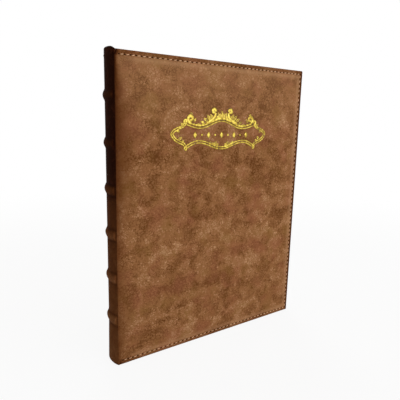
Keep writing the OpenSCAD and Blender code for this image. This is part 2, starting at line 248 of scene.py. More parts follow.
# %% Camera
CAMERA_PLACE = JOINT + Vector((-0.108, -0.2701, 0.1924))
CAMERA_YAW = math.radians(34.76)
CAMERA_PITCH = math.radians(-11.12)
CAMERA_ROLL = math.radians(1.66)
forward = Vector((
    math.sin(CAMERA_YAW) * math.cos(CAMERA_PITCH),
    math.cos(CAMERA_YAW) * math.cos(CAMERA_PITCH),
    math.sin(CAMERA_PITCH),
))
level = Vector((math.cos(CAMERA_YAW), -math.sin(CAMERA_YAW), 0))
upward = level.cross(forward)
right = level * math.cos(CAMERA_ROLL) + upward * math.sin(CAMERA_ROLL)
above = upward * math.cos(CAMERA_ROLL) - level * math.sin(CAMERA_ROLL)
camera_data = bpy.data.cameras.new("camera")
camera_data.lens = 36.51
camera_data.sensor_width = 36
camera_data.shift_x = -0.021
camera_data.shift_y = -0.011
camera_data.clip_start = 0.01
camera = new_object("camera", camera_data)
camera.matrix_world = Matrix((
    (right.x, above.x, -forward.x, CAMERA_PLACE.x),
    (right.y, above.y, -forward.y, CAMERA_PLACE.y),
    (right.z, above.z, -forward.z, CAMERA_PLACE.z),
    (0, 0, 0, 1),
))
bpy.context.scene.camera = camera
print("camera", round((CAMERA_PLACE - JOINT).length, 3), "m from the joint")

# %% [markdown]
# Nodes in one line each
#
# A procedural material is a small tree of nodes. Built by hand it takes many clicks, and in code it
# takes many lines, so these helpers add a node, fill its inputs and give back its output at once.
# An input is filled with a plain value, or with the output of another node, which links the two.
# Reading the pattern's coordinates from place (own pieces) or from the object (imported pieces) is the
# first step of every material, and both are in millimetres.

# %% Nodes and materials
def fill(tree, node, inputs):
    """Fills the inputs of a node with plain values or with the outputs of other nodes."""
    for name, value in inputs.items():
        if isinstance(value, bpy.types.NodeSocket):
            tree.links.new(value, node.inputs[name])
        else:
            node.inputs[name].default_value = value


def add_node(tree, kind, inputs=None, output=0, **settings):
    """Adds a shader node and gives back one of its outputs, or all of them for None."""
    made = tree.nodes.new("ShaderNode" + kind)
    for name, value in settings.items():
        setattr(made, name, value)
    fill(tree, made, inputs or {})
    return made.outputs if output is None else made.outputs[output]


def new_material(name, roughness, specular):
    """An empty material: itself, its tree and its surface shader."""
    material = bpy.data.materials.new(name)
    material.use_nodes = True
    tree = material.node_tree
    shader = tree.nodes["Principled BSDF"]
    fill(tree, shader, {"Roughness": roughness, "Specular IOR Level": specular})
    return material, tree, shader


def color(red, green, blue):
    """A colour as it is seen on screen, 0 to 255, in the numbers that a shader works with."""
    def linear(value):
        share = value / 255
        return share / 12.92 if share <= 0.04045 else ((share + 0.055) / 1.055) ** 2.4
    return (linear(red), linear(green), linear(blue), 1)


# %% Coordinates and patterns
def place_of(tree):
    """Coordinates in millimetres of a piece made here."""
    return add_node(tree, "Attribute", output=1, attribute_name="place")


def packed_place(tree):
    """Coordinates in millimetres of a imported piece, whose points are in metres."""
    at = add_node(tree, "TexCoord", output=3)
    return add_node(tree, "VectorMath", {0: at, "Scale": 1 / MM}, operation="SCALE")


def tone_of(tree, name):
    """A number kept at each point of a piece made here."""
    return add_node(tree, "Attribute", output=2, attribute_name=name)


def stretched(tree, at, x, y, z):
    """Coordinates scaled along each way, which stretches a pattern."""
    return add_node(tree, "VectorMath", {0: at, 1: (x, y, z)}, operation="MULTIPLY")


def noise(tree, at, size, detail=3, rough=0.5, swirl=0):
    """Noise whose blotches are about size millimetres across."""
    return add_node(tree, "TexNoise", {
        "Vector": at, "Scale": 1 / size, "Detail": detail, "Roughness": rough, "Distortion": swirl,
    })


def waves(tree, at, scale, way, sway, detail=2.0):
    """Even light and dark bands, stacked along one way, that sway a little."""
    inputs = {"Vector": at, "Scale": scale, "Distortion": sway, "Detail": detail}
    return add_node(tree, "TexWave", inputs, bands_direction=way)


def bump(tree, height, distance, strength=1.0, below=None):
    """Tilts the surface by a height, as fine relief does."""
    inputs = {"Height": height, "Distance": distance * MM, "Strength": strength}
    if below is not None:
        inputs["Normal"] = below
    return add_node(tree, "Bump", inputs)


# %% Arithmetic and colours
def math_node(tree, operation, first, second=0.0, third=0.0):
    """One sum of arithmetic."""
    return add_node(tree, "Math", {0: first, 1: second, 2: third}, operation=operation)


def mixed_noise(tree, parts):
    """Several noises added up about one half, each with its own weight."""
    total = 0.5 - sum(weight for _, weight in parts) / 2
    for value, weight in parts:
        total = math_node(tree, "MULTIPLY_ADD", value, weight, total)
    return total


def blend_colors(tree, share, first, second):
    """Mixes two colours by a share."""
    return add_node(tree, "Mix", {0: share, 6: first, 7: second}, output=2, data_type="RGBA")


def color_ramp(tree, value, stops):
    """Colours along a value, as (position, colour) stops."""
    ramp = tree.nodes.new("ShaderNodeValToRGB")
    ramp.color_ramp.interpolation = "EASE"
    ramp.color_ramp.elements[0].position = stops[0][0]
    ramp.color_ramp.elements[0].color = stops[0][1]
    ramp.color_ramp.elements[1].position = stops[-1][0]
    ramp.color_ramp.elements[1].color = stops[-1][1]
    for position, shade in stops[1:-1]:
        ramp.color_ramp.elements.new(position).color = shade
    tree.links.new(value, ramp.inputs[0])
    return ramp.outputs[0]


def step(tree, value, low, high, to_low=0.0, to_high=1.0):
    """Rises smoothly from to_low to to_high as value goes from low to high."""
    return add_node(tree, "MapRange", {
        "Value": value, "From Min": low, "From Max": high, "To Min": to_low, "To Max": to_high,
    }, interpolation_type="SMOOTHSTEP")


# %% [markdown]
# Brushed leather
#
# The covers are in soft brown nubuck, leather whose grain side is sanded to a short nap. It has
# cloudy light and dark patches where the nap lies one way or the other, fine speckles of fibre, and
# small dark creases. Shade is painted into its colour along the edges, in the sewn channel, beside the
# joint and most of all on the spine, and light is painted into it just inside the seam and toward the
# head. A picture of leather would be easy but wouldn't bend or scale. So the finish is built from five
# sizes of noise, from wide clouds to specks of fibre, from creases along the borders of small cells,
# and from two tones that each piece carries: painted shade, and a lighter tone that is painted light
# on the covers and rubbed wear on the crowns of the bands. Where shade is painted, the leather goes
# first to a scorched brown and then to a nearly black one with embers of warm brown in it. The nap
# scatters light, so there is hardly any shine, and only a little sheen. The needle holes of the seam
# belong to the finish too, as full painted shade: their places follow from the seam's sizes.

# %% Sizes of the seam
SEAM_INSET = 3.3
SEAM_HALF = 0.75
SEAM_DEPTH = 0.42
SEAM_STITCHES = 55
STITCH_PITCH = (ALBUM_H - 2 * SEAM_INSET) / SEAM_STITCHES
HOLE_R = 0.52
HOLE_FLATNESS = 1.25
HOLE_RIM = 1.9
HOLE_FLOOR = 0.4
print("stitch pitch", round(STITCH_PITCH, 2), "mm")

# %% Needle holes
def needle_holes(tree, at):
    """One in the needle holes of the seam, nought elsewhere."""
    x, _, z = add_node(tree, "SeparateXYZ", {0: at}, output=None)
    from_fore = math_node(tree, "SUBTRACT", COVER_W, x)
    from_end = math_node(tree, "PINGPONG", z, ALBUM_H / 2)
    inset = math_node(tree, "MINIMUM", from_fore, from_end)
    on_fore_edge = math_node(tree, "LESS_THAN", from_fore, from_end)
    across = math_node(tree, "SUBTRACT", from_fore, SEAM_INSET)
    upward = math_node(tree, "SUBTRACT", z, SEAM_INSET)
    change = math_node(tree, "SUBTRACT", upward, across)
    along = math_node(tree, "MULTIPLY_ADD", on_fore_edge, change, across)
    to_hole = math_node(tree, "PINGPONG", along, STITCH_PITCH / 2)
    aside = math_node(tree, "SUBTRACT", inset, SEAM_INSET)
    aside = math_node(tree, "MULTIPLY", aside, HOLE_FLATNESS)
    spread = math_node(tree, "MULTIPLY", aside, aside)
    spread = math_node(tree, "MULTIPLY_ADD", to_hole, to_hole, spread)
    return step(tree, spread, HOLE_R ** 2 * HOLE_RIM, HOLE_R ** 2 * HOLE_FLOOR)


# %% Leather material
CLOUD_SIZE = 34
SMEAR_SIZE = 12
MOTTLE_SIZE = 4.6
FIBRE_SIZE = 1.7
SPECK_SIZE = 0.75
CREASE_SIZE = 2.4
LEATHER_DARK = color(98, 58, 27)
LEATHER_MID = color(146, 99, 61)
LEATHER_LIGHT = color(194, 148, 108)
LEATHER_RED = color(152, 92, 66)
LEATHER_YELLOW = color(134, 96, 48)
LEATHER_SHADE_BROWN = color(98, 54, 24)
LEATHER_DEEP_SHADE = color(34, 10, 3)
LEATHER_DEEP_SHADE_WARM = color(60, 26, 13)


def fine_creases(tree, at, size):
    """One along the borders of small uneven cells, as in the grain of a hide, nought inside."""
    sway = add_node(tree, "TexNoise", {"Vector": at, "Scale": 0.6 / size, "Detail": 2.0}, output=1)
    moved = {0: sway, 1: (size, size, size), 2: at}
    cells = {"Vector": add_node(tree, "VectorMath", moved, operation="MULTIPLY_ADD"), "Scale": 1 / size}
    to_border = add_node(tree, "TexVoronoi", cells, feature="DISTANCE_TO_EDGE")
    return step(tree, to_border, 0.16, 0.01)


def leather_material(name):
    """Brushed brown leather, read from place, painted shade, the lighter tone of rubbed wear and painted
    light, and outside.
    """
    material, tree, shader = new_material(name, 0.8, 0.02)
    at = place_of(tree)
    drawn = stretched(tree, at, 0.88, 1, 1)
    clouds = noise(tree, drawn, CLOUD_SIZE, 2, 0.5, 0.1)
    smears = step(tree, noise(tree, drawn, SMEAR_SIZE, 4, 0.55, 0.4), 0.41, 0.6)
    mottle = noise(tree, drawn, MOTTLE_SIZE, 3, 0.6, 0.5)
    fibres = noise(tree, at, FIBRE_SIZE, 3, 0.7, 0.4)
    # The specks are strong where the nap is worn, and faint between
    worn = step(tree, noise(tree, drawn, 10, 2, 0.5), 0.38, 0.6, 0.35, 1.3)
    specks = math_node(tree, "SUBTRACT", noise(tree, at, SPECK_SIZE, 2, 0.7), 0.5)
    specks = math_node(tree, "MULTIPLY_ADD", specks, worn, 0.5)
    tone = mixed_noise(tree, (
        (clouds, 0.44), (smears, 0.2), (mottle, 0.54), (fibres, 0.44), (specks, 0.88),
    ))
    in_patches = step(tree, mottle, 0.35, 0.65)
    creases = math_node(tree, "MULTIPLY", fine_creases(tree, drawn, CREASE_SIZE), in_patches)
    tone = math_node(tree, "MULTIPLY_ADD", creases, -0.24, tone)
    base = color_ramp(tree, tone, ((0.18, LEATHER_DARK), (0.5, LEATHER_MID), (0.84, LEATHER_LIGHT)))
    reddish = step(tree, noise(tree, drawn, 21, 3, 0.5), 0.46, 0.7, 0, 0.42)
    base = blend_colors(tree, reddish, base, LEATHER_RED)
    yellowish = step(tree, noise(tree, drawn, 16, 3, 0.5), 0.5, 0.72, 0, 0.42)
    base = blend_colors(tree, yellowish, base, LEATHER_YELLOW)
    # The lighter tone: painted light on the covers, rubbed wear on the crowns of the bands
    rub_and_painted_light = tone_of(tree, "rub_and_painted_light")
    base = blend_colors(tree, math_node(tree, "MULTIPLY", rub_and_painted_light, 0.5), base, LEATHER_LIGHT)
    # The painted shade is uneven, and the needle holes get full painted shade, the shade inside each
    # hole
    uneven = mixed_noise(tree, ((clouds, 0.6), (mottle, 0.9), (fibres, 0.5)))
    shade_share = math_node(tree, "MULTIPLY_ADD", uneven, 0.5, 0.75)
    shade_share = math_node(tree, "MULTIPLY", tone_of(tree, "painted_shade"), shade_share)
    holes = math_node(tree, "MULTIPLY", needle_holes(tree, at), tone_of(tree, "outside"))
    shade_share = math_node(tree, "MINIMUM", math_node(tree, "MAXIMUM", shade_share, holes), 1.0)
    # Painted shade: first a scorched brown, then nearly black with warm embers
    base = blend_colors(tree, step(tree, shade_share, 0.0, 0.7), base, LEATHER_SHADE_BROWN)
    deep_shade_color = blend_colors(tree, step(tree, uneven, 0.45, 0.85), LEATHER_DEEP_SHADE, LEATHER_DEEP_SHADE_WARM)
    base = blend_colors(tree, step(tree, shade_share, 0.4, 0.95), base, deep_shade_color)
    nap = bump(tree, specks, 0.06, 0.5)
    nap = bump(tree, fibres, 0.14, 0.5, nap)
    nap = bump(tree, mottle, 0.25, 0.3, nap)
    nap = bump(tree, creases, -0.12, 0.5, nap)
    nap = bump(tree, holes, -0.5, 0.8, nap)
    fill(tree, shader, {
        "Base Color": base,
        "Normal": nap,
        "Roughness": math_node(tree, "MULTIPLY_ADD", fibres, 0.2, 0.72),
        "Sheen Weight": 0.03,
        "Sheen Roughness": 0.5,
        "Sheen Tint": color(190, 150, 110),
    })
    return material


LEATHER = leather_material("brushed_leather")
print("leather nodes:", len(LEATHER.node_tree.nodes))

# %% [markdown]
# The soft field of a cover, blown up as cloth
#
# Under the leather lies a thin sheet of foam. The leather is held down along the seam and beside
# the spine, and between them the foam pushes it up, so the field swells softly and puckers a little
# at the seam. A formula gives the swell but not the puckers. So a net of cloth is pinned round its
# rim, is made a little too large for its place, and is blown up by a steady pressure for twenty
# frames. It is simulated at ten times its size, because cloth settles badly in very small pieces.
# The free net rises far too high, so its height is then pressed down to what thin foam gives. That
# leaves puckers of only 0.03 mm, a hint of unevenness. Without a net, the formula is used instead.

# %% Sizes of the field
FIELD_START = 6.0
PIN_GAP = 0.8
FIELD_LOW = (FIELD_START, SEAM_INSET + PIN_GAP)
FIELD_HIGH = (COVER_W - SEAM_INSET - PIN_GAP, ALBUM_H - SEAM_INSET - PIN_GAP)
FIELD_STEPS = (46, 60)
SWELL = 0.4
SWELL_RUN = 9.0
print("field", [round(high - low, 1) for low, high in zip(FIELD_LOW, FIELD_HIGH)], "mm")


def nearest_edge(x, z):
    """Distance in from the nearest free edge of the cover."""
    return np.minimum(COVER_W - x, np.minimum(z, ALBUM_H - z))


def formula_swell(x, z):
    """How far the foam lifts the leather: steep beside the seam, then nearly level."""
    inside = np.clip((nearest_edge(x, z) - SEAM_INSET) / SWELL_RUN, 0, 1)
    beside_spine = np.clip((x - FIELD_START) / SWELL_RUN, 0, 1)
    return SWELL * (1 - (1 - inside) ** 2) * (1 - (1 - beside_spine) ** 2)


# %% The net of cloth
FIELD_SCALE = 0.01
FIELD_FRAMES = 20
FIELD_EXCESS = 0.012
FIELD_PRESSURE = 4
FIELD_UNEVEN = 0.02
CAP_SHARE = 0.25


def blown_field():
    """Heights of the net, in millimetres, after it is blown up as cloth."""
    across = np.linspace(FIELD_LOW[0], FIELD_HIGH[0], FIELD_STEPS[0])
    up = np.linspace(FIELD_LOW[1], FIELD_HIGH[1], FIELD_STEPS[1])
    x, z = np.meshgrid(across, up)
    uneven = np.random.default_rng(7).normal(0, FIELD_UNEVEN, x.shape)
    points = np.stack([x * FIELD_SCALE, uneven * FIELD_SCALE, z * FIELD_SCALE], -1).reshape(-1, 3)
    mesh = bpy.data.meshes.new("field_net")
    mesh.from_pydata(points.tolist(), [], grid_faces(len(up), len(across)))
    net = new_object("field_net", mesh)
    pins = net.vertex_groups.new(name="pins")
    pins.add(grid_rim(len(up), len(across)), 1.0, "REPLACE")
    cloth = net.modifiers.new("swell", "CLOTH")
    cloth.settings.vertex_group_mass = "pins"
    cloth.settings.shrink_min = -FIELD_EXCESS
    cloth.settings.use_pressure = True
    cloth.settings.uniform_pressure_force = FIELD_PRESSURE
    cloth.settings.effector_weights.gravity = 0
    for number in range(1, FIELD_FRAMES + 1):
        bpy.context.scene.frame_set(number)
    graph = bpy.context.evaluated_depsgraph_get()
    blown = np.array([tuple(v.co) for v in net.evaluated_get(graph).data.vertices])
    bpy.data.objects.remove(net)
    bpy.context.scene.frame_set(1)
    height = np.abs(blown[:, 1] / FIELD_SCALE).reshape(x.shape)
    print("cloth rose", round(float(height.max()), 2), "mm before the foam's cap")
    return SWELL * (1 - np.exp(-height / (CAP_SHARE * height.max())))


FIELD_NET = blown_field()


# %% Swell of the field
def net_value(net, x, z):
    """The value of the net at x and z, between its four nearest points."""
    column = (x - FIELD_LOW[0]) / (FIELD_HIGH[0] - FIELD_LOW[0]) * (FIELD_STEPS[0] - 1)
    row = (z - FIELD_LOW[1]) / (FIELD_HIGH[1] - FIELD_LOW[1]) * (FIELD_STEPS[1] - 1)
    inside = (column > 0) & (column < FIELD_STEPS[0] - 1) & (row > 0) & (row < FIELD_STEPS[1] - 1)
    column = np.clip(column, 0, FIELD_STEPS[0] - 1.001)
    row = np.clip(row, 0, FIELD_STEPS[1] - 1.001)
    i, j = row.astype(int), column.astype(int)
    t, s = row - i, column - j
    low = net[i, j] * (1 - s) + net[i, j + 1] * s
    high = net[i + 1, j] * (1 - s) + net[i + 1, j + 1] * s
    return np.where(inside, low * (1 - t) + high * t, 0)


def swell(x, z):
    """How far the foam lifts the leather at x and z."""
    return formula_swell(x, z) if FIELD_NET is None else net_value(FIELD_NET, x, z)


middle_swell = float(swell(np.array(COVER_W / 2), np.array(ALBUM_H / 2)))
print("swell in the middle", round(middle_swell, 2), "mm")

# %% [markdown]
# The shape of a padded cover
#
# The leather is sewn down in a narrow channel beside the three free edges, and each needle hole pulls
# it in a little. Outside the channel it rolls over the edge of the board. Beside the spine it sinks
# to the joint. With the swell of the field, the whole face is one height map: how deep the leather
# lies below the front plane at x and z. What lies on the leather reads its place from the same map.

# %% Height of the cover leather
EDGE_ROUND = 1.5
EDGE_ROUND_AT_JOINT = 0.65
INNER_ROUND = 0.8
CORNER = 0.9
HOLE_PULL = 0.16
SHOULDER_DROP = 0.65
SHOULDER_RUN = 9.0
JOINT_GAP = (front_low.x - JOINT.x) / MM


def along_edge(x, z):
    """Distance along the nearest free edge, which counts the stitches."""
    on_fore_edge = (COVER_W - x) < np.minimum(z, ALBUM_H - z)
    return np.where(on_fore_edge, z - SEAM_INSET, COVER_W - SEAM_INSET - x)


def cover_depth(x, z):
    """Depth of the leather below the front plane, in millimetres."""
    inset = nearest_edge(x, z)
    opened = np.clip((x - JOINT_GAP) / SHOULDER_RUN, 0, 1)
    edge = EDGE_ROUND_AT_JOINT + (EDGE_ROUND - EDGE_ROUND_AT_JOINT) * opened
    over = np.clip(edge - inset, 0, edge)
    depth = edge - np.sqrt(edge ** 2 - over ** 2)
    channel = np.exp(-((inset - SEAM_INSET) / SEAM_HALF) ** 2)
    pull = 0.5 + 0.5 * np.cos(2 * np.pi * along_edge(x, z) / STITCH_PITCH)
    depth = depth + channel * (SEAM_DEPTH + HOLE_PULL * pull)
    return depth + SHOULDER_DROP * (1 - opened) ** 2 - swell(x, z)


seam_depth = float(cover_depth(np.array(COVER_W / 2), np.array(SEAM_INSET)))
print("leather in the seam", round(seam_depth, 2), "mm below the front plane")

# %% Grid lines of the cover
EDGE_LINES = [0, 0.06, 0.24, 0.52, 0.95, 1.5, 2.1, 2.6, 3.0, 3.3, 3.6, 4.0, 4.7, 5.9]
JOINT_LINES = [0, 0.4, 0.9, 1.6, 2.4]
LINE_SPACING = STITCH_PITCH / 3


def seam_lines(low, high):
    """Even grid lines that count from the seam, so that each hole of the seam falls on one."""
    count = int((high - low) / LINE_SPACING)
    return high - LINE_SPACING * np.arange(count + 1)[::-1]


far_line = COVER_W - SEAM_INSET - STITCH_PITCH
X_LINES = np.concatenate([
    JOINT_GAP + np.array(JOINT_LINES),
    seam_lines(JOINT_GAP + JOINT_LINES[-1] + 0.4, far_line),
    COVER_W - np.array(EDGE_LINES)[::-1],
])
far_line = ALBUM_H - SEAM_INSET - STITCH_PITCH
Z_LINES = np.concatenate([
    np.array(EDGE_LINES),
    seam_lines(SEAM_INSET + STITCH_PITCH - 0.01, far_line),
    ALBUM_H - np.array(EDGE_LINES)[::-1],
])
print("cover grid", len(X_LINES), "x", len(Z_LINES))

# %% [markdown]
# One sheet of leather round a board
#
# The leather of a cover is a single sheet. It lies over the face, rolls round three edges and is
# turned in on the inside, where its corners are mitred. The face is a grid over x and z. The rest
# starts at the rim of that grid and runs in rings round the edge and over the inside. The two free
# corners are rounded by a map that pulls a square corner onto an arc. Solidify then gives the sheet
# its thickness on the hidden side. The sheet also carries its tones: painted shade outside the seam,
# in the channel and beside the joint, and painted light inside the seam and toward the head.

# %% Sheet of the covers
LEATHER_T = 0.5
TURN_IN = 12.0
ROLL_STEPS = 4


def round_corners(x, z):
    """Moves plan points near the two free corners of the cover onto round corners."""
    out_x = np.clip(CORNER - (COVER_W - x), 0, None)
    out_z = np.clip(CORNER - np.minimum(z, ALBUM_H - z), 0, None)
    reach = np.maximum(np.hypot(out_x, out_z), 1e-6)
    share = np.maximum(out_x, out_z) / reach
    both = (out_x > 0) & (out_z > 0)
    new_end = CORNER - out_z * share
    new_z = np.where(z < ALBUM_H / 2, new_end, ALBUM_H - new_end)
    return np.where(both, COVER_W - CORNER + out_x * share, x), np.where(both, new_z, z)


def turn_in_profile():
    """(inset, depth) from just past the outer rounding to the edge of the turned-in leather."""
    profile = [(0, EDGE_ROUND + 0.3), (0, CASE_T - INNER_ROUND)]
    for i in range(1, ROLL_STEPS + 1):
        angle = math.pi / 2 * i / ROLL_STEPS
        drop = INNER_ROUND * (1 - math.sin(angle))
        profile.append((INNER_ROUND * (1 - math.cos(angle)), CASE_T - drop))
    return profile + [(inset, CASE_T) for inset in (2.2, 4.5, 8, TURN_IN)]


def cover_sheet():
    """Points and faces of the outer side of a cover's leather, with the inset of each point."""
    x, z = np.meshgrid(X_LINES, Z_LINES)
    plan_x, plan_z = round_corners(x, z)
    points = [np.stack([plan_x, cover_depth(x, z), plan_z], -1).reshape(-1, 3)]
    columns, rows = len(X_LINES), len(Z_LINES)
    faces = grid_faces(rows, columns)
    # The free rim: along the tail, up the fore-edge and back along the head
    rim = grid_rim(rows, columns)[:2 * columns + rows - 2]
    flat_x, flat_z = x.reshape(-1)[rim], z.reshape(-1)[rim]
    before, count = rim, rows * columns
    insets = [nearest_edge(x, z).reshape(-1)]
    for ring_inset, ring_depth in turn_in_profile():
        share = (COVER_W - ring_inset - JOINT_GAP) / (COVER_W - JOINT_GAP)
        ring_x = JOINT_GAP + (flat_x - JOINT_GAP) * share
        ring_z = ALBUM_H / 2 + (flat_z - ALBUM_H / 2) * (1 - 2 * ring_inset / ALBUM_H)
        ring_x, ring_z = round_corners(ring_x, ring_z)
        points.append(np.stack([ring_x, np.full(len(rim), ring_depth), ring_z], -1))
        ring = list(range(count, count + len(rim)))
        for j in range(len(rim) - 1):
            faces.append((before[j + 1], before[j], ring[j], ring[j + 1]))
        insets.append(np.full(len(rim), -1.0))
        before = ring
        count += len(rim)
    return np.concatenate(points), faces, np.concatenate(insets)


print("turned in", TURN_IN, "mm over", len(turn_in_profile()), "rings")

# %% Tones of the covers
# Painted shade beside the joint: how far it runs and how dark it is, by height
JOINT_SHADE_RUN = ((0, 3.5), (35, 11), (80, 4), (122, 8), (150, 13), (185, 11), (206, 7.5), (226, 2))
JOINT_SHADE = ((0, 0.42), (80, 0.4), (122, 0.47), (165, 0.58), (206, 0.64), (235, 0.7))
BORDER_SHADE = 0.3
CHANNEL_SHADE = 0.24
FORE_EDGE_SHADE = 0.32
HIGHLIGHT_INSET = SEAM_INSET + 2.6
SEAM_PAINTED_HIGHLIGHT = 0.65
HEAD_PAINTED_LIGHT = 0.3
HEAD_FROM = 0.72


def along_height(table, z):
    """A value at height z, from a table of (height, value)."""
    return np.interp(z, *zip(*table))


def leather_tones(points, inset):
    """Painted shade and painted light of a cover's leather, from 0 to 1."""
    x, z = points[:, 0], points[:, 2]
    # Painted shade on the rolled border, in the seam's channel, beside the joint and at the fore-edge
    border = np.clip((SEAM_INSET - 0.3 - inset) / 0.8, 0, 1) * BORDER_SHADE
    channel = np.exp(-((inset - SEAM_INSET) / 0.6) ** 2) * CHANNEL_SHADE
    from_joint = np.clip(x - JOINT_GAP, 0, None) / along_height(JOINT_SHADE_RUN, z)
    beside_joint = along_height(JOINT_SHADE, z) * np.exp(-from_joint ** 1.2)
    fore_edge = np.clip((x - (COVER_W - SEAM_INSET)) / 0.8, 0, 1) * FORE_EDGE_SHADE
    painted_shade = np.clip(border + channel + beside_joint + fore_edge, 0, 1)
    # A painted highlight just inside the seam, and painted light toward the head
    rub_and_painted_light = np.exp(-((inset - HIGHLIGHT_INSET) / 1.6) ** 2) * SEAM_PAINTED_HIGHLIGHT * np.clip((x - FIELD_START) / 10, 0, 1)
    at_head = np.clip((z - ALBUM_H * HEAD_FROM) / (ALBUM_H * (1 - HEAD_FROM)), 0, 1)
    return painted_shade, rub_and_painted_light + HEAD_PAINTED_LIGHT * at_head * (inset > SEAM_INSET)


print("burnish beside the joint, at most", max(share for _, share in JOINT_SHADE))

# %% Leather of the covers
sheet_points, sheet_faces, sheet_inset = cover_sheet()
for side in SIDES:
    place = on_side(side, sheet_points)
    quads = sheet_faces if side == "front" else [face[::-1] for face in sheet_faces]
    cover = make_piece(f"{side}_cover_leather", place, quads, LEATHER, closed=False)
    painted_shade, rub_and_painted_light = leather_tones(sheet_points, sheet_inset)
    set_tone(cover, "painted_shade", painted_shade)
    set_tone(cover, "rub_and_painted_light", rub_and_painted_light)
    set_tone(cover, "outside", sheet_inset > 0)
    thicken(cover, LEATHER_T)
    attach(cover, f"{side}_cover")
    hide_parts(f"{side}_leather", f"{side}_padding")
    print(cover.name, len(cover.data.vertices), "points")

# %% [markdown]
# Stitches
#
# One line of thick tan thread runs 3.3 mm inside the head, fore-edge and tail. Each stitch shows as
# a short plump dash of thread, a little askew, that dives into a dark needle hole at either end. A
# dash is a tube whose radius shrinks at the ends and whose path dips into the leather. It could be
# drawn in the leather's finish, but real thread stands up and catches the light, so it is swept mesh.

# %% Thread material
def thread_material():
    """Tan twisted thread."""
    material, tree, shader = new_material("tan_thread", 0.6, 0.2)
    at = place_of(tree)
    twist = waves(tree, at, 1.8, "DIAGONAL", 1.2, 1.0)
    shade = blend_colors(tree, noise(tree, at, 3, 2), color(232, 172, 120), color(250, 220, 186))
    shade = blend_colors(tree, math_node(tree, "MULTIPLY", twist, 0.3), shade, color(172, 110, 64))
    fill(tree, shader, {"Base Color": shade, "Normal": bump(tree, twist, 0.08, 0.6)})
    return material


THREAD = thread_material()
print(THREAD.name, "nodes:", len(THREAD.node_tree.nodes))

# %% Stitches of the covers
STITCH_LENGTH = 2.0
STITCH_LEAN = 0.22
STITCH_DIVE = 0.55
THREAD_R = 0.27


def seam_line():
    """(x, z, direction) of the middle of every stitch along the tail, the head and the fore-edge."""
    fore_x = COVER_W - SEAM_INSET
    seam = []
    for i in range(int((fore_x - JOINT_GAP - 1) / STITCH_PITCH)):
        x = fore_x - (i + 0.5) * STITCH_PITCH
        seam.append((x, SEAM_INSET, (1, 0)))
        seam.append((x, ALBUM_H - SEAM_INSET, (1, 0)))
    for i in range(SEAM_STITCHES):
        seam.append((fore_x, SEAM_INSET + (i + 0.5) * STITCH_PITCH, (0, 1)))
    return seam


def stitch(x, z, direction):
    """One dash of thread that dips into its holes."""
    t = np.linspace(-1, 1, 9)
    along = t * STITCH_LENGTH / 2
    path_x = x + along * direction[0] + STITCH_LEAN * t * direction[1]
    path_z = z + along * direction[1] + STITCH_LEAN * t * direction[0]
    rise = THREAD_R * 0.5 - STITCH_DIVE * np.abs(t) ** 4
    path = np.stack([path_x, cover_depth(path_x, path_z) - rise, path_z], -1)
    return sweep(path, round_section(8), THREAD_R * (1 - 0.4 * t ** 6), (0, 1, 0))


seam = seam_line()
thread_points, thread_faces = join_parts([stitch(*one) for one in seam])
for side in SIDES:
    place = on_side(side, thread_points)
    stitches = make_piece(f"{side}_stitches", place, thread_faces, THREAD)
    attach(stitches, f"{side}_cover")
    print(stitches.name, len(seam), "stitches")

# %% [markdown]
# The gold frame
#
# A scrolled frame is pressed on the front cover in gold foil: two rails, side lobes, shoulder scrolls
# and a crest with leaves. Along its middle runs a row of lozenges and dots. The foil has a rounded
# relief, and its colour carries a painted highlight on top and painted shade at its foot. It could be
# a flat patch with a painted relief, but that would look dead from the side. So it is drawn as strokes:
# each is a path in the plane of the cover with a width at its start, middle and end. A domed section
# swept along the path gives the relief, and its points read their depth from the cover's height map,
# so the foil follows the swell of the leather. One half is drawn, and the other is its mirror image.

# %% Gold material
# Painted shade at the foot of the foil, its middle colour, and a painted highlight on top
GOLD_PAINTED_SHADE = color(84, 62, 10)
GOLD_MID = color(178, 146, 24)
GOLD_PAINTED_HIGHLIGHT = color(222, 198, 74)


def gold_material():
    """Gold foil, read from place and lift: painted shade at the foot of a stroke and a painted highlight
    on top.
    """
    material, tree, shader = new_material("gold_foil", 0.36, 0.5)
    at = place_of(tree)
    patchy = mixed_noise(tree, ((noise(tree, at, 3.2, 3, 0.6), 1.5), (noise(tree, at, 0.5, 2), 0.5)))
    lowered = math_node(tree, "ADD", patchy, -0.53)
    # Low points get painted shade and high points a painted highlight
    lift = math_node(tree, "MULTIPLY_ADD", tone_of(tree, "lift"), 0.85, lowered)
    fill(tree, shader, {
        "Base Color": color_ramp(tree, lift, ((0.28, GOLD_PAINTED_SHADE), (0.66, GOLD_MID), (0.94, GOLD_PAINTED_HIGHLIGHT))),
        "Metallic": 0.35,
        "Normal": bump(tree, patchy, 0.05, 0.5),
    })
    return material


GOLD = gold_material()
print(GOLD.name, "nodes:", len(GOLD.node_tree.nodes))

# %% Strokes of foil
FRAME_DROP = 53.0
FOOT = -0.08
STROKE_STEP = 0.45
STROKE_LIFT = 0.14
LIFT_BY_WIDTH = 0.13
MOST_LIFT = 0.42
ACROSS = np.array([-1.3, -1.15, -0.95, -0.5, 0, 0.5, 0.95, 1.15, 1.3])
DOME = np.array([0, 0.3, 0.6, 0.92, 1.0, 0.92, 0.6, 0.3, 0])
VEIN = np.array([0, 0.3, 0.75, 1.0, 0.4, 1.0, 0.75, 0.3, 0])


def on_cover(u, v, lift):
    """Points at u and v from the middle of the frame, standing off the leather by lift."""
    x = COVER_W / 2 + u
    z = ALBUM_H - FRAME_DROP + v
    return np.stack([x, cover_depth(x, z) - lift, z], -1)


def even_steps(path, spacing):
    """The same path in even steps of about that length."""
    path = np.asarray(path, float)
    along = np.concatenate([[0], np.cumsum(np.linalg.norm(np.diff(path, axis=0), axis=1))])
    even = np.linspace(0, along[-1], max(int(along[-1] / spacing), 6) + 1)
    return np.stack([np.interp(even, along, path[:, k]) for k in range(2)], -1), even


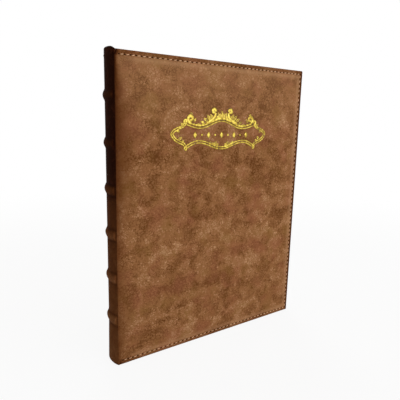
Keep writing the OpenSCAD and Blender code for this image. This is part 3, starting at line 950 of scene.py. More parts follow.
def stroke(path, start, middle, end, shift=0.0, section=DOME, beads=0.0):
    """A domed stroke with three widths, moved sideways by shift: its points, faces and lifts.

    Beads swell and sink along it at that pitch, as in a carved moulding.
    """
    path, along = even_steps(path, STROKE_STEP)
    tangent = np.gradient(path, axis=0)
    tangent /= np.linalg.norm(tangent, axis=1)[:, None]
    across = np.stack([-tangent[:, 1], tangent[:, 0]], -1)
    widths = np.interp(np.linspace(0, 1, len(path)), [0, 0.5, 1], [start, middle, end])
    swing = 0.5 - 0.5 * np.cos(2 * np.pi * along / beads) if beads else np.ones(len(path))
    widths = widths * (0.9 + 0.1 * swing)
    sideways = shift + ACROSS[None, :, None] * widths[:, None, None] / 2
    plan = path[:, None] + across[:, None] * sideways
    top = np.minimum(MOST_LIFT, STROKE_LIFT + widths * LIFT_BY_WIDTH)
    share = section[None, :] * (0.8 + 0.2 * swing)[:, None]
    lift = FOOT + share * (top[:, None] - FOOT)
    points = on_cover(plan[..., 0], plan[..., 1], lift).reshape(-1, 3)
    return points, tube_faces(len(path), len(section)), share.reshape(-1)


# %% Curves, spirals and leaves
def curve_points(corners, steps):
    """Points, or rows of points, along a smooth curve with four control points."""
    a, b, c, d = [np.array(corner, float) for corner in corners]
    t = np.linspace(0, 1, steps + 1).reshape(-1, *[1] * a.ndim)
    return (1 - t) ** 3 * a + 3 * (1 - t) ** 2 * t * b + 3 * (1 - t) * t ** 2 * c + t ** 3 * d


def spiral_points(centre, start_r, end_r, start_angle, end_angle, steps):
    """Points along a spiral."""
    t = np.linspace(0, 1, steps + 1)
    angle = np.radians(start_angle + (end_angle - start_angle) * t)
    r = start_r + (end_r - start_r) * t
    return np.stack([centre[0] + r * np.cos(angle), centre[1] + r * np.sin(angle)], -1)


def leaf(base, tip, width, bend):
    """A pointed leaf with a vein, bent sideways."""
    base, tip = np.array(base, float), np.array(tip, float)
    along = tip - base
    across = np.array([-along[1], along[0]]) / np.linalg.norm(along) * bend
    path = curve_points([base, base + along / 3 + across, base + along * 2 / 3 + across, tip], 12)
    return stroke(path, width * 0.4, width, 0.12, section=VEIN)


# %% Rails and lobes
def top_rail(u):
    """Height of the upper rail: a crown in the middle and a shoulder at the side."""
    crown = 0.6 + 2.9 * (1 + np.cos(np.pi * u / 21))
    shoulder = 0.6 + 2.8 * (1 - np.cos(np.pi / 2 * (u - 21) / 12.5))
    return np.where(u < 21, crown, shoulder)


def tail_rail(u):
    """Height of the lower rail: a sag in the middle and a droop at the side."""
    sag = -16 + 2.6 * (1 - np.cos(np.pi * u / 22))
    droop = -10.8 - 4.4 * (1 - np.cos(np.pi / 2 * (u - 22) / 12))
    return np.where(u < 22, sag, droop)


upper_u = np.linspace(0, 33.5, 40)
lower_u = np.linspace(0, 34, 40)
UPPER = np.stack([upper_u, top_rail(upper_u)], -1)
LOWER = np.stack([lower_u, tail_rail(lower_u)], -1)
LOBE = np.concatenate([
    curve_points([(34, -15), (35.2, -10.4), (38, -11), (40.4, -9.8)], 10),
    curve_points([(41, -9.4), (43.6, -8.4), (45.4, -6.2), (46.4, -4.2)], 9),
    curve_points([(46.4, -3.5), (45.2, -1.4), (43.2, -0.6), (40.8, 0.4)], 9),
    curve_points([(40.1, 0.7), (37.6, 1.2), (35.6, 2.8), (34, 5.4)], 10),
])
print("half a rail", len(UPPER), "points, lobe", len(LOBE))

# %% Leaves of the frame: base, tip, width and bend
SIDE_LEAVES = (
    ((29.4, 10.0), (30.2, 12.8), 2.4, 0.5),
    ((26.6, 5.2), (25.0, 8.6), 1.8, -0.4),
    ((35.6, 2.6), (39.2, 5.0), 2.0, -0.5),
    ((40.8, 0.6), (37.0, 2.0), 2.2, 0.6),
    ((42.6, -1.6), (39.6, -2.4), 2.2, -0.5),
    ((40.8, -9.0), (37.4, -6.2), 2.7, -0.6),
    ((37.8, -10.4), (35.6, -8.4), 2.1, -0.4),
)
CREST_LEAVES = (
    ((9.6, 7.2), (11.9, 12.0), 3.0, 0.7),
    ((12.0, 6.2), (15.4, 11.2), 3.2, 0.8),
    ((14.2, 5.2), (18.2, 8.6), 2.8, 0.7),
    ((17.2, 4.0), (21.0, 6.0), 2.2, 0.5),
    ((21.0, 2.8), (24.4, 3.8), 1.7, 0.4),
)
FAN_LEAVES = (
    ((0.35, 7.6), (0.55, 14.6), 1.5, 0.1),
    ((1.3, 7.8), (2.3, 13.2), 2.1, 0.3),
    ((2.7, 7.6), (4.5, 13.6), 2.5, 0.4),
    ((4.5, 7.2), (6.3, 11.4), 2.5, 0.4),
)
TAIL_LEAVES = (
    ((4.6, -14.0), (3.0, -11.4), 2.5, -0.5),
    ((6.4, -13.4), (5.0, -9.8), 2.8, -0.6),
    ((8.8, -12.8), (7.8, -10.4), 2.7, -0.4),
    ((11.4, -11.8), (10.6, -9.6), 2.5, -0.4),
)
print(len(SIDE_LEAVES + CREST_LEAVES + FAN_LEAVES + TAIL_LEAVES), "leaves on each half")


# %% Half of the frame
def half_frame():
    """The strokes of the right-hand half."""
    strokes = [stroke(UPPER, 0.85, 0.85, 0.85), stroke(UPPER, 2.6, 2.1, 1.9, 2.05, beads=3.4)]
    strokes += [stroke(LOWER, 1.15, 1.1, 1.15, shift, beads=2.6) for shift in (0.0, 1.7)]
    strokes += [stroke(LOBE, 1.0, 1.2, 1.1, shift, beads=2.3) for shift in (-0.8, 0.8)]
    # Curl at the foot of the lobe, knuckle at its head and the shoulder scroll
    strokes.append(stroke(spiral_points((34.2, -15.4), 1.3, 0.5, 0, 400, 24), 1.1, 1.2, 1.2))
    strokes.append(stroke(spiral_points((34.4, 5.8), 1.9, 0.5, -120, 300, 24), 1.5, 1.7, 1.5))
    strokes.append(stroke(spiral_points((29.8, 7.9), 2.9, 0.7, -75, 330, 34), 2.4, 3.0, 2.4))
    strokes += [leaf(*sizes) for sizes in SIDE_LEAVES]
    # Crest scroll on its stem, the leaves down its back and the fan in the middle
    stem = curve_points([(15.5, 4.6), (10.5, 6.2), (6.6, 8.6), (6.2, 12.8)], 18)
    strokes.append(stroke(stem, 2.6, 2.7, 2.5))
    strokes.append(stroke(spiral_points((8.2, 14.0), 1.9, 0.4, 185, -200, 30), 2.8, 2.9, 2.2))
    strokes += [leaf(*sizes) for sizes in CREST_LEAVES + FAN_LEAVES]
    # Leaves and a sprig that rise inside the tail rail
    strokes += [leaf(*sizes) for sizes in TAIL_LEAVES]
    sprig = curve_points([(3.6, -14.0), (7.5, -13.2), (11, -11.6), (16, -9.6)], 14)
    strokes.append(stroke(sprig, 2.3, 1.9, 0.6, beads=2.0))
    return strokes


strokes = half_frame()
print(len(strokes), "strokes on each half")

# %% Lozenges and dots
CUSHION_LIFT = 0.34
ROW_PITCH = 6.4
ROW_V = -4.6
ROW_ENDS = 4


def cushion(u, v, half_u, half_v, corners):
    """A small raised cushion of foil: its points, faces and lifts."""
    angle = np.linspace(0, 2 * np.pi, 24, endpoint=False)
    power = 1.0 if corners else 2.0
    r = (np.abs(np.cos(angle)) ** power + np.abs(np.sin(angle)) ** power) ** (-1 / power)
    rings = ((1.0, 0.0), (0.93, 0.6), (0.72, 0.9), (0.4, 1.0))
    points, lifts = [], []
    for size, share in rings:
        ring_u = u + half_u * size * r * np.cos(angle)
        ring_v = v + half_v * size * r * np.sin(angle)
        points.append(on_cover(ring_u, ring_v, FOOT + share * CUSHION_LIFT))
        lifts.append(np.full(len(angle), share))
    return np.concatenate(points), tube_faces(len(rings), len(angle)), np.concatenate(lifts)


def cushion_row():
    """Lozenges, with a dot between each two."""
    row = []
    for i in range(-ROW_ENDS, ROW_ENDS + 1):
        if i % 2 == 0:
            row.append(cushion(i * ROW_PITCH, ROW_V, 2.1, 2.9, corners=True))
        else:
            row.append(cushion(i * ROW_PITCH, ROW_V, 0.95, 0.95, corners=False))
    return row


row = cushion_row()
print(len(row), "lozenges and dots")


# %% The whole frame
def other_half(points):
    """The same points on the other side of the frame's middle."""
    return np.stack([COVER_W - points[:, 0], points[:, 1], points[:, 2]], -1)


parts = strokes + [(other_half(points), faces, lifts) for points, faces, lifts in strokes]
parts += row
foil_points, foil_faces = join_parts([(points, faces) for points, faces, _ in parts])
foil = make_piece("gold_frame_relief", foil_points, foil_faces, GOLD)
set_tone(foil, "lift", np.concatenate([lifts for _, _, lifts in parts]))
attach(foil, "front_cover")
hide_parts("gold_frame")
foil_w = float(np.ptp(foil_points[:, 0]))
print("gold frame:", len(parts), "parts,", round(foil_w, 1), "mm wide")

# %% [markdown]
# The spine
#
# The leather of the spine is moulded over six raised bands. It is one sheet: it follows the round
# of the spine, swells over each band and sinks away before the joints. At the tail it is a little
# fuller and is rolled in softly over the spine board, and at the head it is drawn up into a rounded
# cap that stands above the covers. It could be a plain round sheet with the bands laid on top, but
# then each band would end in a sharp line. So the sheet is one grid. One way runs across the spine
# by angle, and the other goes from the turned-in edge at the tail, round the roll, up the outside
# and over the cap. An outer and an inner layer of points make it a closed sheet with a real
# thickness. Shade is painted into it, darkest near the head, and a little painted shade lies at the
# foot of each band.

# %% Round of the spine
BULGE = 2.4
SPINE_R = (ALBUM_T ** 2 / 4 + BULGE ** 2) / (2 * BULGE)
SPINE_X = SPINE_R - BULGE
SPINE_ANGLE = math.asin(ALBUM_T / 2 / SPINE_R) - math.radians(1.5)
FULLNESS = ((0, 1.0), (22, 0.5), (33, 0))
ROLL_T = 2.2
ROLL_T_SIDE = 1.05
ROLL_TURNS = np.linspace(0, math.pi, 9)
TAIL_SOFTNESS = 1.2
SPINE_TURN_IN = 12.0
_, spine_high = node_mm("spine_leather")
HEAD_RISE = spine_high.z - ALBUM_H
print("spine radius", round(SPINE_R, 2), "mm, cap", round(HEAD_RISE, 2), "mm above the covers")

# %% Raised bands
BAND_COUNT = 6
BAND_RISE = 1.4
BAND_HALF = 4.4
BAND_END_RUN = math.radians(2.6)
BAND_ANGLE = math.asin((ALBUM_T / 2 - 1.5) / SPINE_R)
TAIL_PANEL = 37.0
HEAD_PANEL = 30.0
BAND_PITCH = (ALBUM_H - TAIL_PANEL - HEAD_PANEL) / (BAND_COUNT - 1)
BANDS = [TAIL_PANEL + i * BAND_PITCH for i in range(BAND_COUNT)]
print("bands at", [round(z, 1) for z in BANDS])


def from_band(z):
    """Distance along the spine from the middle of the nearest band."""
    return np.min([np.abs(z - band) for band in BANDS], axis=0)


def band_height(angle, z):
    """How far the leather over the bands stands out from the round of the spine."""
    ends = np.clip((BAND_ANGLE - np.abs(angle)) / BAND_END_RUN, 0, 1)
    ends = ends * ends * (3 - 2 * ends)
    near = from_band(z) / BAND_HALF
    return BAND_RISE * ends * np.clip(1 - near ** 2, 0, 1) ** 1.5


# %% Grid of the spine
EVEN_TO = 20
LINE_GAP = 1.5
CAP_GAP = 0.7
ROLL_GAP = 0.8
TURN_IN_LINE = 6.0


def spine_angles():
    """Angles across the spine, closer together where the bands end."""
    even = np.radians(np.linspace(-EVEN_TO, EVEN_TO, 33))
    ends = np.linspace(math.radians(EVEN_TO), SPINE_ANGLE, 11)[1:]
    return np.concatenate([-ends[::-1], even, ends])


angles = spine_angles()
print("spine grid", len(angles), "angles")


def outside_lines(low, high):
    """Heights of the grid lines on the outside: close over the bands and wide between them."""
    lines = [np.linspace(low, BANDS[0] - BAND_HALF - LINE_GAP, 12)]
    lines += [np.linspace(band - BAND_HALF, band + BAND_HALF, 15) for band in BANDS]
    between = np.linspace(BAND_HALF + LINE_GAP, BAND_PITCH - BAND_HALF - LINE_GAP, 9)
    lines += [between + band for band in BANDS[:-1]]
    lines.append(np.linspace(BANDS[-1] + BAND_HALF + LINE_GAP, high, 12))
    return np.sort(np.concatenate(lines))


def tail_roll(r, inner_r, tail_r):
    """(depth, z) round the roll at the tail, which rises more slowly on the outside."""
    roll = []
    for turn in ROLL_TURNS:
        up = r - inner_r * math.sin(turn)
        if turn > math.pi / 2:
            up = (r - inner_r) + (tail_r - r + inner_r) * (1 - math.sin(turn))
        roll.append((r + inner_r * math.cos(turn), up))
    return roll


def spine_section(angle, layer):
    """(depth, z) from the inner edge at the tail to that at the head, for one layer."""
    side = abs(angle) / SPINE_ANGLE
    thick = ROLL_T_SIDE + (ROLL_T - ROLL_T_SIDE) * (1 - np.clip(side * 1.2, 0, 1) ** 2)
    head = ALBUM_H + HEAD_RISE * (1 - side ** 3.6)
    r = thick / 2
    inner_r = max(r - layer, 0.03)
    inside = (SPINE_TURN_IN, TURN_IN_LINE, r + ROLL_GAP)
    section = [(thick - layer, z) for z in inside]
    section += tail_roll(r, inner_r, r * (1 + TAIL_SOFTNESS * (1 - side ** 2)))
    section += [(layer, z) for z in outside_lines(r + LINE_GAP, head - r - CAP_GAP)]
    for turn in ROLL_TURNS:
        section.append((r - inner_r * math.cos(turn), head - r + inner_r * math.sin(turn)))
    inside = (head - r - ROLL_GAP, head - TURN_IN_LINE, head - SPINE_TURN_IN)
    section += [(thick - layer, z) for z in inside]
    return np.array(section)


def spine_layer(angles, layer):
    """One layer of the sheet as a grid of points."""
    columns = []
    for angle in angles:
        section = spine_section(angle, layer)
        outside = section[:, 0] < ROLL_T_SIDE * 0.55
        fuller = along_height(FULLNESS, section[:, 1]) * (1 - (angle / SPINE_ANGLE) ** 2)
        radius = SPINE_R - section[:, 0] + band_height(angle, section[:, 1]) * outside + fuller
        columns.append(np.stack([
            SPINE_X - radius * math.cos(angle),
            ALBUM_T / 2 - radius * math.sin(angle),
            section[:, 1],
        ], -1))
    return np.array(columns)


# %% Leather of the spine
SPINE_SHADE = ((0, 0.5), (70, 0.56), (122, 0.64), (160, 1.0))
BAND_WEAR = 0.2
BAND_FOOT_SHADE = 0.12
FOOT_RUN = 1.3
spine_points, spine_faces = closed_sheet(spine_layer(angles, 0.0), spine_layer(angles, LEATHER_T))
spine = make_piece("spine_cover_leather", spine_points, spine_faces, LEATHER)
reach = np.hypot(SPINE_X - spine_points[:, 0], spine_points[:, 1] - ALBUM_T / 2)
stands_out = np.clip((reach - SPINE_R) / BAND_RISE, 0, 1)
# Painted shade in the hollow at the foot of each band
band_foot = np.exp(-((from_band(spine_points[:, 2]) - BAND_HALF) / FOOT_RUN) ** 2)
# Painted shade, darker toward the head, a little less on the rubbed crowns of the bands
painted_shade = along_height(SPINE_SHADE, spine_points[:, 2]) * (1 - BAND_WEAR * stands_out)
set_tone(spine, "painted_shade", painted_shade + BAND_FOOT_SHADE * band_foot)
set_tone(spine, "rub_and_painted_light", BAND_WEAR * stands_out)
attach(spine, "binding")
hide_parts("spine_leather", "raised_bands")
print(spine.name, len(spine_points), "points")

# %% [markdown]
# The joints
#
# Between the spine and each cover the leather is free. It creases there when the cover opens. This
# strip is the only part of the leather that would bend, so it is a piece of its own, and it follows the
# spine on one side and the cover on the other. Its pattern is read from place, so it wouldn't swim if
# the strip bent. Its rims lie on those of the spine and of the cover at every height. It is
# a closed sheet with an inner side of its own, nearly twice as thick near head and tail, where the
# leather is turned in. Solidify gives one thickness all over, so it isn't used here.

# %% Strip over the front joint
JOINT_STEPS = 25
LEAVING = np.array([0.12, -0.16, 0])
ARRIVING = np.array([-0.32, 0.1, 0])
THINNEST = 0.02


def rolled_over(z):
    """How far the leather sinks at head and tail, where it is folded over."""
    r = ROLL_T_SIDE / 2
    from_end = np.minimum(z, ALBUM_H - z)
    return r - np.sqrt(r ** 2 - np.clip(r - from_end, 0, r) ** 2)


def joint_rims():
    """The rims of the front joint's strip, on the spine and on the cover, from tail to head."""
    z = Z_LINES
    x = np.full(len(z), JOINT_GAP)
    cover_rim = np.stack([x, cover_depth(x, z), z], -1)
    radius = SPINE_R - rolled_over(z)
    spine_rim = np.stack([
        SPINE_X - radius * math.cos(SPINE_ANGLE),
        ALBUM_T / 2 - radius * math.sin(SPINE_ANGLE),
        z,
    ], -1)
    return spine_rim, cover_rim


def joint_sheet():
    """The outer side of the strip, as a grid of points from the spine to the cover."""
    start, end = joint_rims()
    return curve_points([start, start + LEAVING, end + ARRIVING, end], JOINT_STEPS - 1)


def inner_side(outer):
    """The inner side of the strip, further in where the leather is turned in."""
    along = np.gradient(outer, axis=0)
    inward = np.stack([-along[..., 1], along[..., 0], np.zeros(outer.shape[:2])], -1)
    inward /= np.linalg.norm(inward, axis=-1)[..., None]
    z = outer[..., 2]
    turned_in = np.clip((SPINE_TURN_IN - np.minimum(z, ALBUM_H - z)) / 0.4, 0, 1)
    thickness = LEATHER_T + (ROLL_T_SIDE - LEATHER_T) * turned_in - 2 * rolled_over(z)
    return outer + inward * np.maximum(thickness, THINNEST)[..., None]


strip_grid = joint_sheet()
print("joint strip", strip_grid.shape[0], "x", strip_grid.shape[1], "points")

# %% Leather over both joints
FAR_FROM_EDGES = 30.0
strip_points, strip_faces = closed_sheet(strip_grid, inner_side(strip_grid))
middle_row = len(Z_LINES) // 2
strip_ends = strip_grid[[0, -1], middle_row]
# Painted shade: that of the spine, fading into that of the cover beside the joint
to_cover = np.linspace(0, 1, JOINT_STEPS)[:, None] ** 0.5
painted_shade = along_height(SPINE_SHADE, strip_grid[..., 2]) * (1 - to_cover)
painted_shade += leather_tones(strip_grid[-1], FAR_FROM_EDGES)[0] * to_cover
for side in SIDES:
    place = on_side(side, strip_points)
    strip = make_piece(f"{side}_joint_leather", place, strip_faces, LEATHER)
    set_tone(strip, "painted_shade", np.tile(painted_shade.ravel(), 2))
    ends = on_side(side, strip_ends)
    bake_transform(strip)
strip_w = float(np.hypot(*(strip_ends[1] - strip_ends[0])[:2]))
print("joint strips", round(strip_w, 2), "mm wide")

# %% [markdown]
# Paper, card and clear film
#
# Inside, the album is paper: ivory endpapers with faint laid lines, thick card guards, smooth card
# leaves, and pockets of clear film welded to them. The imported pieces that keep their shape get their
# finish by putting a material in their slots. Card shows fine fibres and the odd fleck. The film is
# mostly clear and gets whiter at a grazing angle, and its welds are frosted, so its material reads
# how far a point is from the sheet's rim and from the line between the pockets.

# %% Paper and card
def paper_material(name, light, dark, at_from=packed_place, lines=0.0):
    """Paper or card: fibres, flecks and, if asked, faint laid lines."""
    material, tree, shader = new_material(name, 0.85, 0.2)
    at = at_from(tree)
    fibres = noise(tree, stretched(tree, at, 1, 1, 0.35), 1.1, 4, 0.7, 1.2)
    cloudy = noise(tree, at, 24, 3)
    shade = mixed_noise(tree, ((fibres, 0.9), (cloudy, 0.45)))
    base = blend_colors(tree, step(tree, shade, 0.25, 0.75), dark, light)
    fleck = step(tree, noise(tree, at, 1.6, 2, 0.8), 0.7, 0.78, 0, 0.3)
    base = blend_colors(tree, fleck, base, color(150, 128, 98))
    height = fibres
    if lines:
        laid = waves(tree, at, 0.32, "Z", 0.6)
        base = blend_colors(tree, math_node(tree, "MULTIPLY", laid, lines), base, dark)
        height = math_node(tree, "MULTIPLY_ADD", laid, 0.6, fibres)
    fill(tree, shader, {"Base Color": base, "Normal": bump(tree, height, 0.05, 0.5)})
    return material


ENDPAPER_TONES = (color(238, 229, 206), color(214, 200, 170))
LAID = 0.35
ENDPAPER = paper_material("endpaper", *ENDPAPER_TONES, lines=LAID)
ENDPAPER_LOOSE = paper_material("loose_endpaper", *ENDPAPER_TONES, place_of, lines=LAID)
GUARD_CARD = paper_material("guard_card", color(232, 225, 206), color(206, 195, 170))
LEAF_CARD = paper_material("leaf_card", color(240, 234, 218), color(222, 212, 190), place_of)
print("papers:", [paper.name for paper in (ENDPAPER, ENDPAPER_LOOSE, GUARD_CARD, LEAF_CARD)])


# %% Lining cloth, board and wire
def cloth_material(name, light, dark):
    """Open-weave lining cloth."""
    material, tree, shader = new_material(name, 0.9, 0.1)
    at = packed_place(tree)
    warp = waves(tree, at, 1.4, "Y", 0.8)
    weft = waves(tree, at, 1.4, "Z", 0.8)
    weave = math_node(tree, "MULTIPLY", warp, weft)
    base = blend_colors(tree, weave, dark, light)
    fill(tree, shader, {"Base Color": base, "Normal": bump(tree, weave, 0.12, 0.8)})
    return material


def board_material(name):
    """Grey binder's board of pulped paper."""
    material, tree, shader = new_material(name, 0.92, 0.1)
    at = packed_place(tree)
    pulp = noise(tree, at, 0.9, 4, 0.75, 0.8)
    grey = step(tree, pulp, 0.3, 0.7)
    base = blend_colors(tree, grey, color(132, 120, 102), color(182, 170, 150))
    fill(tree, shader, {"Base Color": base, "Normal": bump(tree, pulp, 0.15, 0.7)})
    return material


def wire_material(name):
    """Drawn wire."""
    material, tree, shader = new_material(name, 0.35, 0.5)
    at = packed_place(tree)
    drawn = noise(tree, stretched(tree, at, 1, 1, 0.1), 0.3, 2)
    fill(tree, shader, {
        "Base Color": blend_colors(tree, drawn, color(150, 150, 150), color(196, 196, 194)),
        "Metallic": 1.0,
        "Roughness": step(tree, drawn, 0.3, 0.7, 0.28, 0.45),
    })
    return material


LINER = cloth_material("liner_cloth", color(226, 220, 202), color(150, 140, 118))
BOARD = board_material("binders_board")
WIRE = wire_material("drawn_wire")
print("hidden finishes:", LINER.name, BOARD.name, WIRE.name)

# %% Clear film
FILM_LOW, FILM_HIGH = node_mm("pockets_01")
WELD_W = 2.0
WELD_RUN = 0.15


def film_material(name):
    """Clear film, whiter at a grazing angle and frosted along its welds."""
    material, tree, shader = new_material(name, 0.14, 0.5)
    at = packed_place(tree)
    x, _, z = add_node(tree, "SeparateXYZ", {0: at}, output=None)
    middle = (FILM_LOW.z + FILM_HIGH.z) / 2
    from_middle = math_node(tree, "ABSOLUTE", math_node(tree, "SUBTRACT", z, middle))
    from_end = math_node(tree, "SUBTRACT", (FILM_HIGH.z - FILM_LOW.z) / 2, from_middle)
    from_fore = math_node(tree, "SUBTRACT", FILM_HIGH.x + JOINT.x / MM, x)
    to_weld = math_node(tree, "MINIMUM", from_end, from_fore)
    to_middle_weld = math_node(tree, "ADD", from_middle, WELD_W / 2)
    to_weld = math_node(tree, "MINIMUM", to_weld, to_middle_weld)
    weld = step(tree, to_weld, WELD_W + WELD_RUN, WELD_W - WELD_RUN)
    facing = add_node(tree, "LayerWeight", {"Blend": 0.35}, output=1)
    glancing = math_node(tree, "POWER", facing, 3.0)
    alpha = math_node(tree, "MULTIPLY_ADD", glancing, 0.5, 0.1)
    ripple = bump(tree, noise(tree, at, 14, 2), 0.3, 0.4)
    dimples = math_node(tree, "MULTIPLY", noise(tree, at, 0.8, 2, 0.7), weld)
    fill(tree, shader, {
        "Base Color": blend_colors(tree, weld, color(236, 242, 246), color(226, 230, 232)),
        "Alpha": math_node(tree, "MULTIPLY_ADD", weld, 0.35, alpha),
        "Roughness": math_node(tree, "MULTIPLY_ADD", weld, 0.4, 0.12),
        "Normal": bump(tree, dimples, 0.06, 0.6, ripple),
    })
    return material


FILM = film_material("clear_film")
print(FILM.name, "nodes:", len(FILM.node_tree.nodes))


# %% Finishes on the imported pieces
def finish_node(node, material):
    """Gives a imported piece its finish."""
    for slot in frame["nodes"][node].material_slots:
        slot.material = material


leaf_numbers = sorted(name[-2:] for name in frame["nodes"] if name.startswith("guard_"))
for side in SIDES:
    finish_node(f"{side}_board", BOARD)
    finish_node(f"{side}_infill", BOARD)
    finish_node(f"{side}_lining", ENDPAPER)
    finish_node(f"{side}_flyleaf_tip", ENDPAPER)
finish_node("spine_board", BOARD)
finish_node("spine_liner", LINER)
finish_node("binding_staples", WIRE)
for number in leaf_numbers:
    finish_node(f"guard_{number}", GUARD_CARD)
    finish_node(f"pockets_{number}", FILM)
print("leaves:", len(leaf_numbers))

# %% [markdown]
# Leaves with a score
#
# A stiff card leaf turns on a score, a line pressed into it just past its guard. A hard hinge there
# would tear the sheet from its guard. So each leaf is a thin sheet that starts at the guard. It has
# close grid lines over the score, between the guard on one side and the leaf on the other, where a
# bend would need them. The flyleaves, the free halves of the endpapers, are made in the same way
# beside their glued tips.

# %% Shape of a leaf
_, guard_high = node_mm("guard_01")
SCORE_X = guard_high.x
SCORE_RUN = 1.75
SCORE_LINES = 9
LEAF_CORNER = 3.0
SHEET_ROWS = 24
SHARP = math.radians(50)
print("score", round(SCORE_X, 2), "mm from the joint")


def card_sheet(node):
    """A sheet with two round corners that fills a packed leaf and runs on to its guard."""
    low, high = node_mm(node)
    bend = np.linspace(SCORE_X, SCORE_X + SCORE_RUN, SCORE_LINES)
    body = np.linspace(SCORE_X + SCORE_RUN, high.x - LEAF_CORNER, 12)[1:]
    turn = np.linspace(0, math.pi / 2, 7)[1:]
    x = np.concatenate([bend, body, high.x - LEAF_CORNER + LEAF_CORNER * np.sin(turn)])
    out = np.clip(x - (high.x - LEAF_CORNER), 0, LEAF_CORNER)
    cut = LEAF_CORNER - np.sqrt(LEAF_CORNER ** 2 - out ** 2)
    share = np.linspace(0, 1, SHEET_ROWS)
    z = (low.z + cut)[:, None] * (1 - share) + (high.z - cut)[:, None] * share
    x = np.broadcast_to(x[:, None], z.shape)
    outer = np.stack([x, np.full(z.shape, low.y), z], -1)
    inner = np.stack([x, np.full(z.shape, high.y), z], -1)
    return closed_sheet(outer, inner)


# %% Leaves and flyleaves
sheets = [(f"leaf_{number}", LEAF_CARD, "leaf_card") for number in leaf_numbers]
sheets += [(f"{side}_flyleaf", ENDPAPER_LOOSE, "endpaper") for side in SIDES]
for node, material, slot_name in sheets:
    card = make_piece(f"{node}_sheet", *card_sheet(node), material)
    card.data.set_sharp_from_angle(angle=SHARP)
    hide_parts(node)
    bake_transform(card)
print("sheets:", len(sheets), "bending over", SCORE_RUN, "mm")

# %% [markdown]
# Head band and tail band
#
# A corded roll closes each end of the block behind the leaves. Thread in two colours is wound round
# a core, so the roll has fine ribs in broad stripes. Winding a real thread would take many points
# for a piece this small. So the core with its ribs is one swept tube whose radius rises and falls
# once a turn of thread, and the stripes belong to its finish. A strip of tape below the roll holds
# it to the back of the block.

# %% Silk material
STRIPE = 2.2
STRIPE_RUN = 0.12


def silk_material():
    """Wound silk in red-brown and straw stripes."""
    material, tree, shader = new_material("wound_silk", 0.55, 0.3)
    at = place_of(tree)
    along = add_node(tree, "SeparateXYZ", {0: at}, output=1)
    phase = math_node(tree, "PINGPONG", along, STRIPE)
    stripe = step(tree, phase, STRIPE / 2 - STRIPE_RUN, STRIPE / 2 + STRIPE_RUN)
    base = blend_colors(tree, stripe, color(122, 62, 30), color(216, 184, 118))
    fuzz = noise(tree, at, 0.25, 2)
    base = blend_colors(tree, math_node(tree, "MULTIPLY", fuzz, 0.3), base, color(90, 52, 28))
    fill(tree, shader, {"Base Color": base, "Normal": bump(tree, fuzz, 0.04, 0.5)})
    return material


SILK = silk_material()
print(SILK.name, "stripes of", STRIPE, "mm")

# %% Corded bands
RIB_PITCH = 0.55
RIB_STEPS = 6
ROLL_R = 0.9
TAPE_T = 0.2


def ribbed_roll(low, high, roll_z):
    """The core wound with thread, from side to side of the block."""
    count = int((high.y - low.y) / RIB_PITCH)
    y = np.linspace(low.y, high.y, count * RIB_STEPS + 1)
    ribs = 0.86 + 0.12 * np.abs(np.sin(np.pi * count * (y - low.y) / (high.y - low.y)))
    path = np.stack([np.full(len(y), high.x - ROLL_R), y, np.full(len(y), roll_z)], -1)
    print("roll with", count, "ribs")
    return sweep(path, round_section(14), ROLL_R * ribs, (0, 0, 1))


def tape(low, high, edge, out, inward):
    """The folded tape that holds a roll: down the back of the block from edge to out."""
    fold = high.x - ROLL_R
    outer = [(low.x, out), (low.x, edge), (fold, edge)]
    inner = [(low.x + TAPE_T, out), (low.x + TAPE_T, edge + inward), (fold, edge + inward)]
    rows = np.linspace(low.y, high.y, 12)
    return closed_sheet(*[
        np.array([[(x, y, z) for x, z in line] for y in rows]) for line in (outer, inner)
    ])


for node, at_head in (("head_band", True), ("tail_band", False)):
    low, high = node_mm(node)
    if at_head:
        parts = [ribbed_roll(low, high, high.z - ROLL_R), tape(low, high, high.z, low.z, -TAPE_T)]
    else:
        parts = [ribbed_roll(low, high, low.z + ROLL_R), tape(low, high, low.z, high.z, TAPE_T)]
    band = make_piece(f"{node}_corded", *join_parts(parts), SILK)
    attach(band, "binding")
    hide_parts(node)

# %% [markdown]
# Light and background
#
# The photograph is lit from the front, so the cover shows its own colour while the spine falls into
# shade. One large soft lamp stands before the cover and another hangs overhead. A third behind the
# album keeps its rear readable, and a faint one beside the spine keeps the bands from going black.
# The world adds a dim even light. To the camera, and in reflections, the world is plain white. The
# floor is pale and keeps a soft shadow, and it fades to white with distance.

# %% Lamps
MIDDLE = (0, 0, 0.11)


def area_lamp(name, place, aim, size, power):
    """A soft square lamp that shines from place at aim."""
    data = bpy.data.lights.new(name, "AREA")
    data.size = size
    data.energy = power
    lamp = new_object(name, data)
    lamp.location = place
    lamp.rotation_euler = (Vector(aim) - Vector(place)).to_track_quat("-Z", "Y").to_euler()
    lamp.visible_camera = False
    print(name, "lamp:", power, "W")


area_lamp("key", (0.42, -1.3, 0.2), MIDDLE, 0.9, 12)
area_lamp("rear", (0.5, 1.3, 0.5), MIDDLE, 0.9, 11)
area_lamp("overhead", (0.15, -0.35, 1.5), MIDDLE, 1.2, 8)
area_lamp("spine_side", (-1.3, 0.5, 0.45), MIDDLE, 0.5, 1.3)

# %% World
WORLD_LIGHT = 0.2
WHITE = (1, 1, 1, 1)


def seen_directly(tree):
    """One for what the camera sees, straight, in a reflection or through film."""
    rays = add_node(tree, "LightPath", output=None)
    seen = math_node(tree, "ADD", rays["Is Camera Ray"], rays["Is Glossy Ray"])
    seen = math_node(tree, "ADD", seen, rays["Is Transmission Ray"])
    return math_node(tree, "MINIMUM", seen, 1.0)


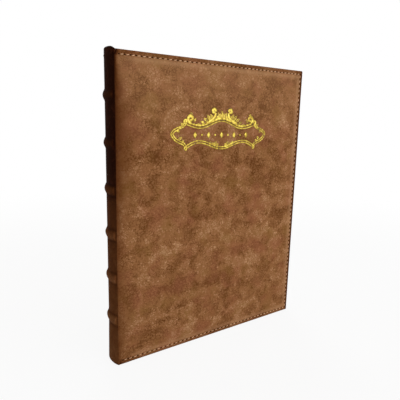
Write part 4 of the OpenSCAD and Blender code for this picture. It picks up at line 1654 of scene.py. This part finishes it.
world = bpy.data.worlds.new("studio")
bpy.context.scene.world = world
world.use_nodes = True
sky = world.node_tree
brightness = math_node(sky, "MULTIPLY_ADD", seen_directly(sky), 1 - WORLD_LIGHT, WORLD_LIGHT)
fill(sky, sky.nodes["Background"], {"Color": WHITE, "Strength": brightness})
print(world.name, "light", WORLD_LIGHT, "on the album, 1 to the camera")

# %% Floor
FLOOR_R = 3.0
FLOOR_SIDES = 96
NEAR_WHITE = 0.9
FADE_FROM = 0.25
FADE_TO = 0.8


def floor_material():
    """A pale floor that keeps a faint shadow near the album and fades to white further out."""
    material, tree, shader = new_material("pale_floor", 0.9, 0.0)
    at = add_node(tree, "TexCoord", output=3)
    distance = add_node(tree, "VectorMath", {0: at}, output=1, operation="LENGTH")
    fade = step(tree, distance, FADE_FROM, FADE_TO, NEAR_WHITE, 1)
    white_share = math_node(tree, "MULTIPLY", seen_directly(tree), fade)
    pale = blend_colors(tree, noise(tree, at, 0.02, 3), color(240, 240, 239), color(245, 245, 244))
    fill(tree, shader, {"Base Color": pale})
    white = add_node(tree, "Emission", {"Color": WHITE, "Strength": 1.0})
    mixed = add_node(tree, "MixShader", {0: white_share, 1: shader.outputs[0], 2: white})
    fill(tree, tree.nodes["Material Output"], {"Surface": mixed})
    return material


turns = np.linspace(0, 2 * np.pi, FLOOR_SIDES, endpoint=False)
disc = bpy.data.meshes.new("floor")
corners = [(FLOOR_R * math.cos(turn), FLOOR_R * math.sin(turn), 0) for turn in turns]
disc.from_pydata(corners, [], [tuple(range(FLOOR_SIDES))])
disc.materials.append(floor_material())
floor = new_object("floor", disc)
floor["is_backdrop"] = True
print("floor", FLOOR_R * 2, "m across")

# %% [markdown]
# Settings and the last checks
#
# Standard colour management shows each colour as written. How much the box of the dressed model has
# grown over that of the imported model is printed, because a finish must not change the size of the
# album.

# %% Finish
bpy.context.scene.view_settings.view_transform = "Standard"
visual_low, visual_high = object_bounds()
grown = (visual_high - visual_low) - (cad_high - cad_low)
print("grown by", [round(length / MM, 2) for length in grown], "mm")
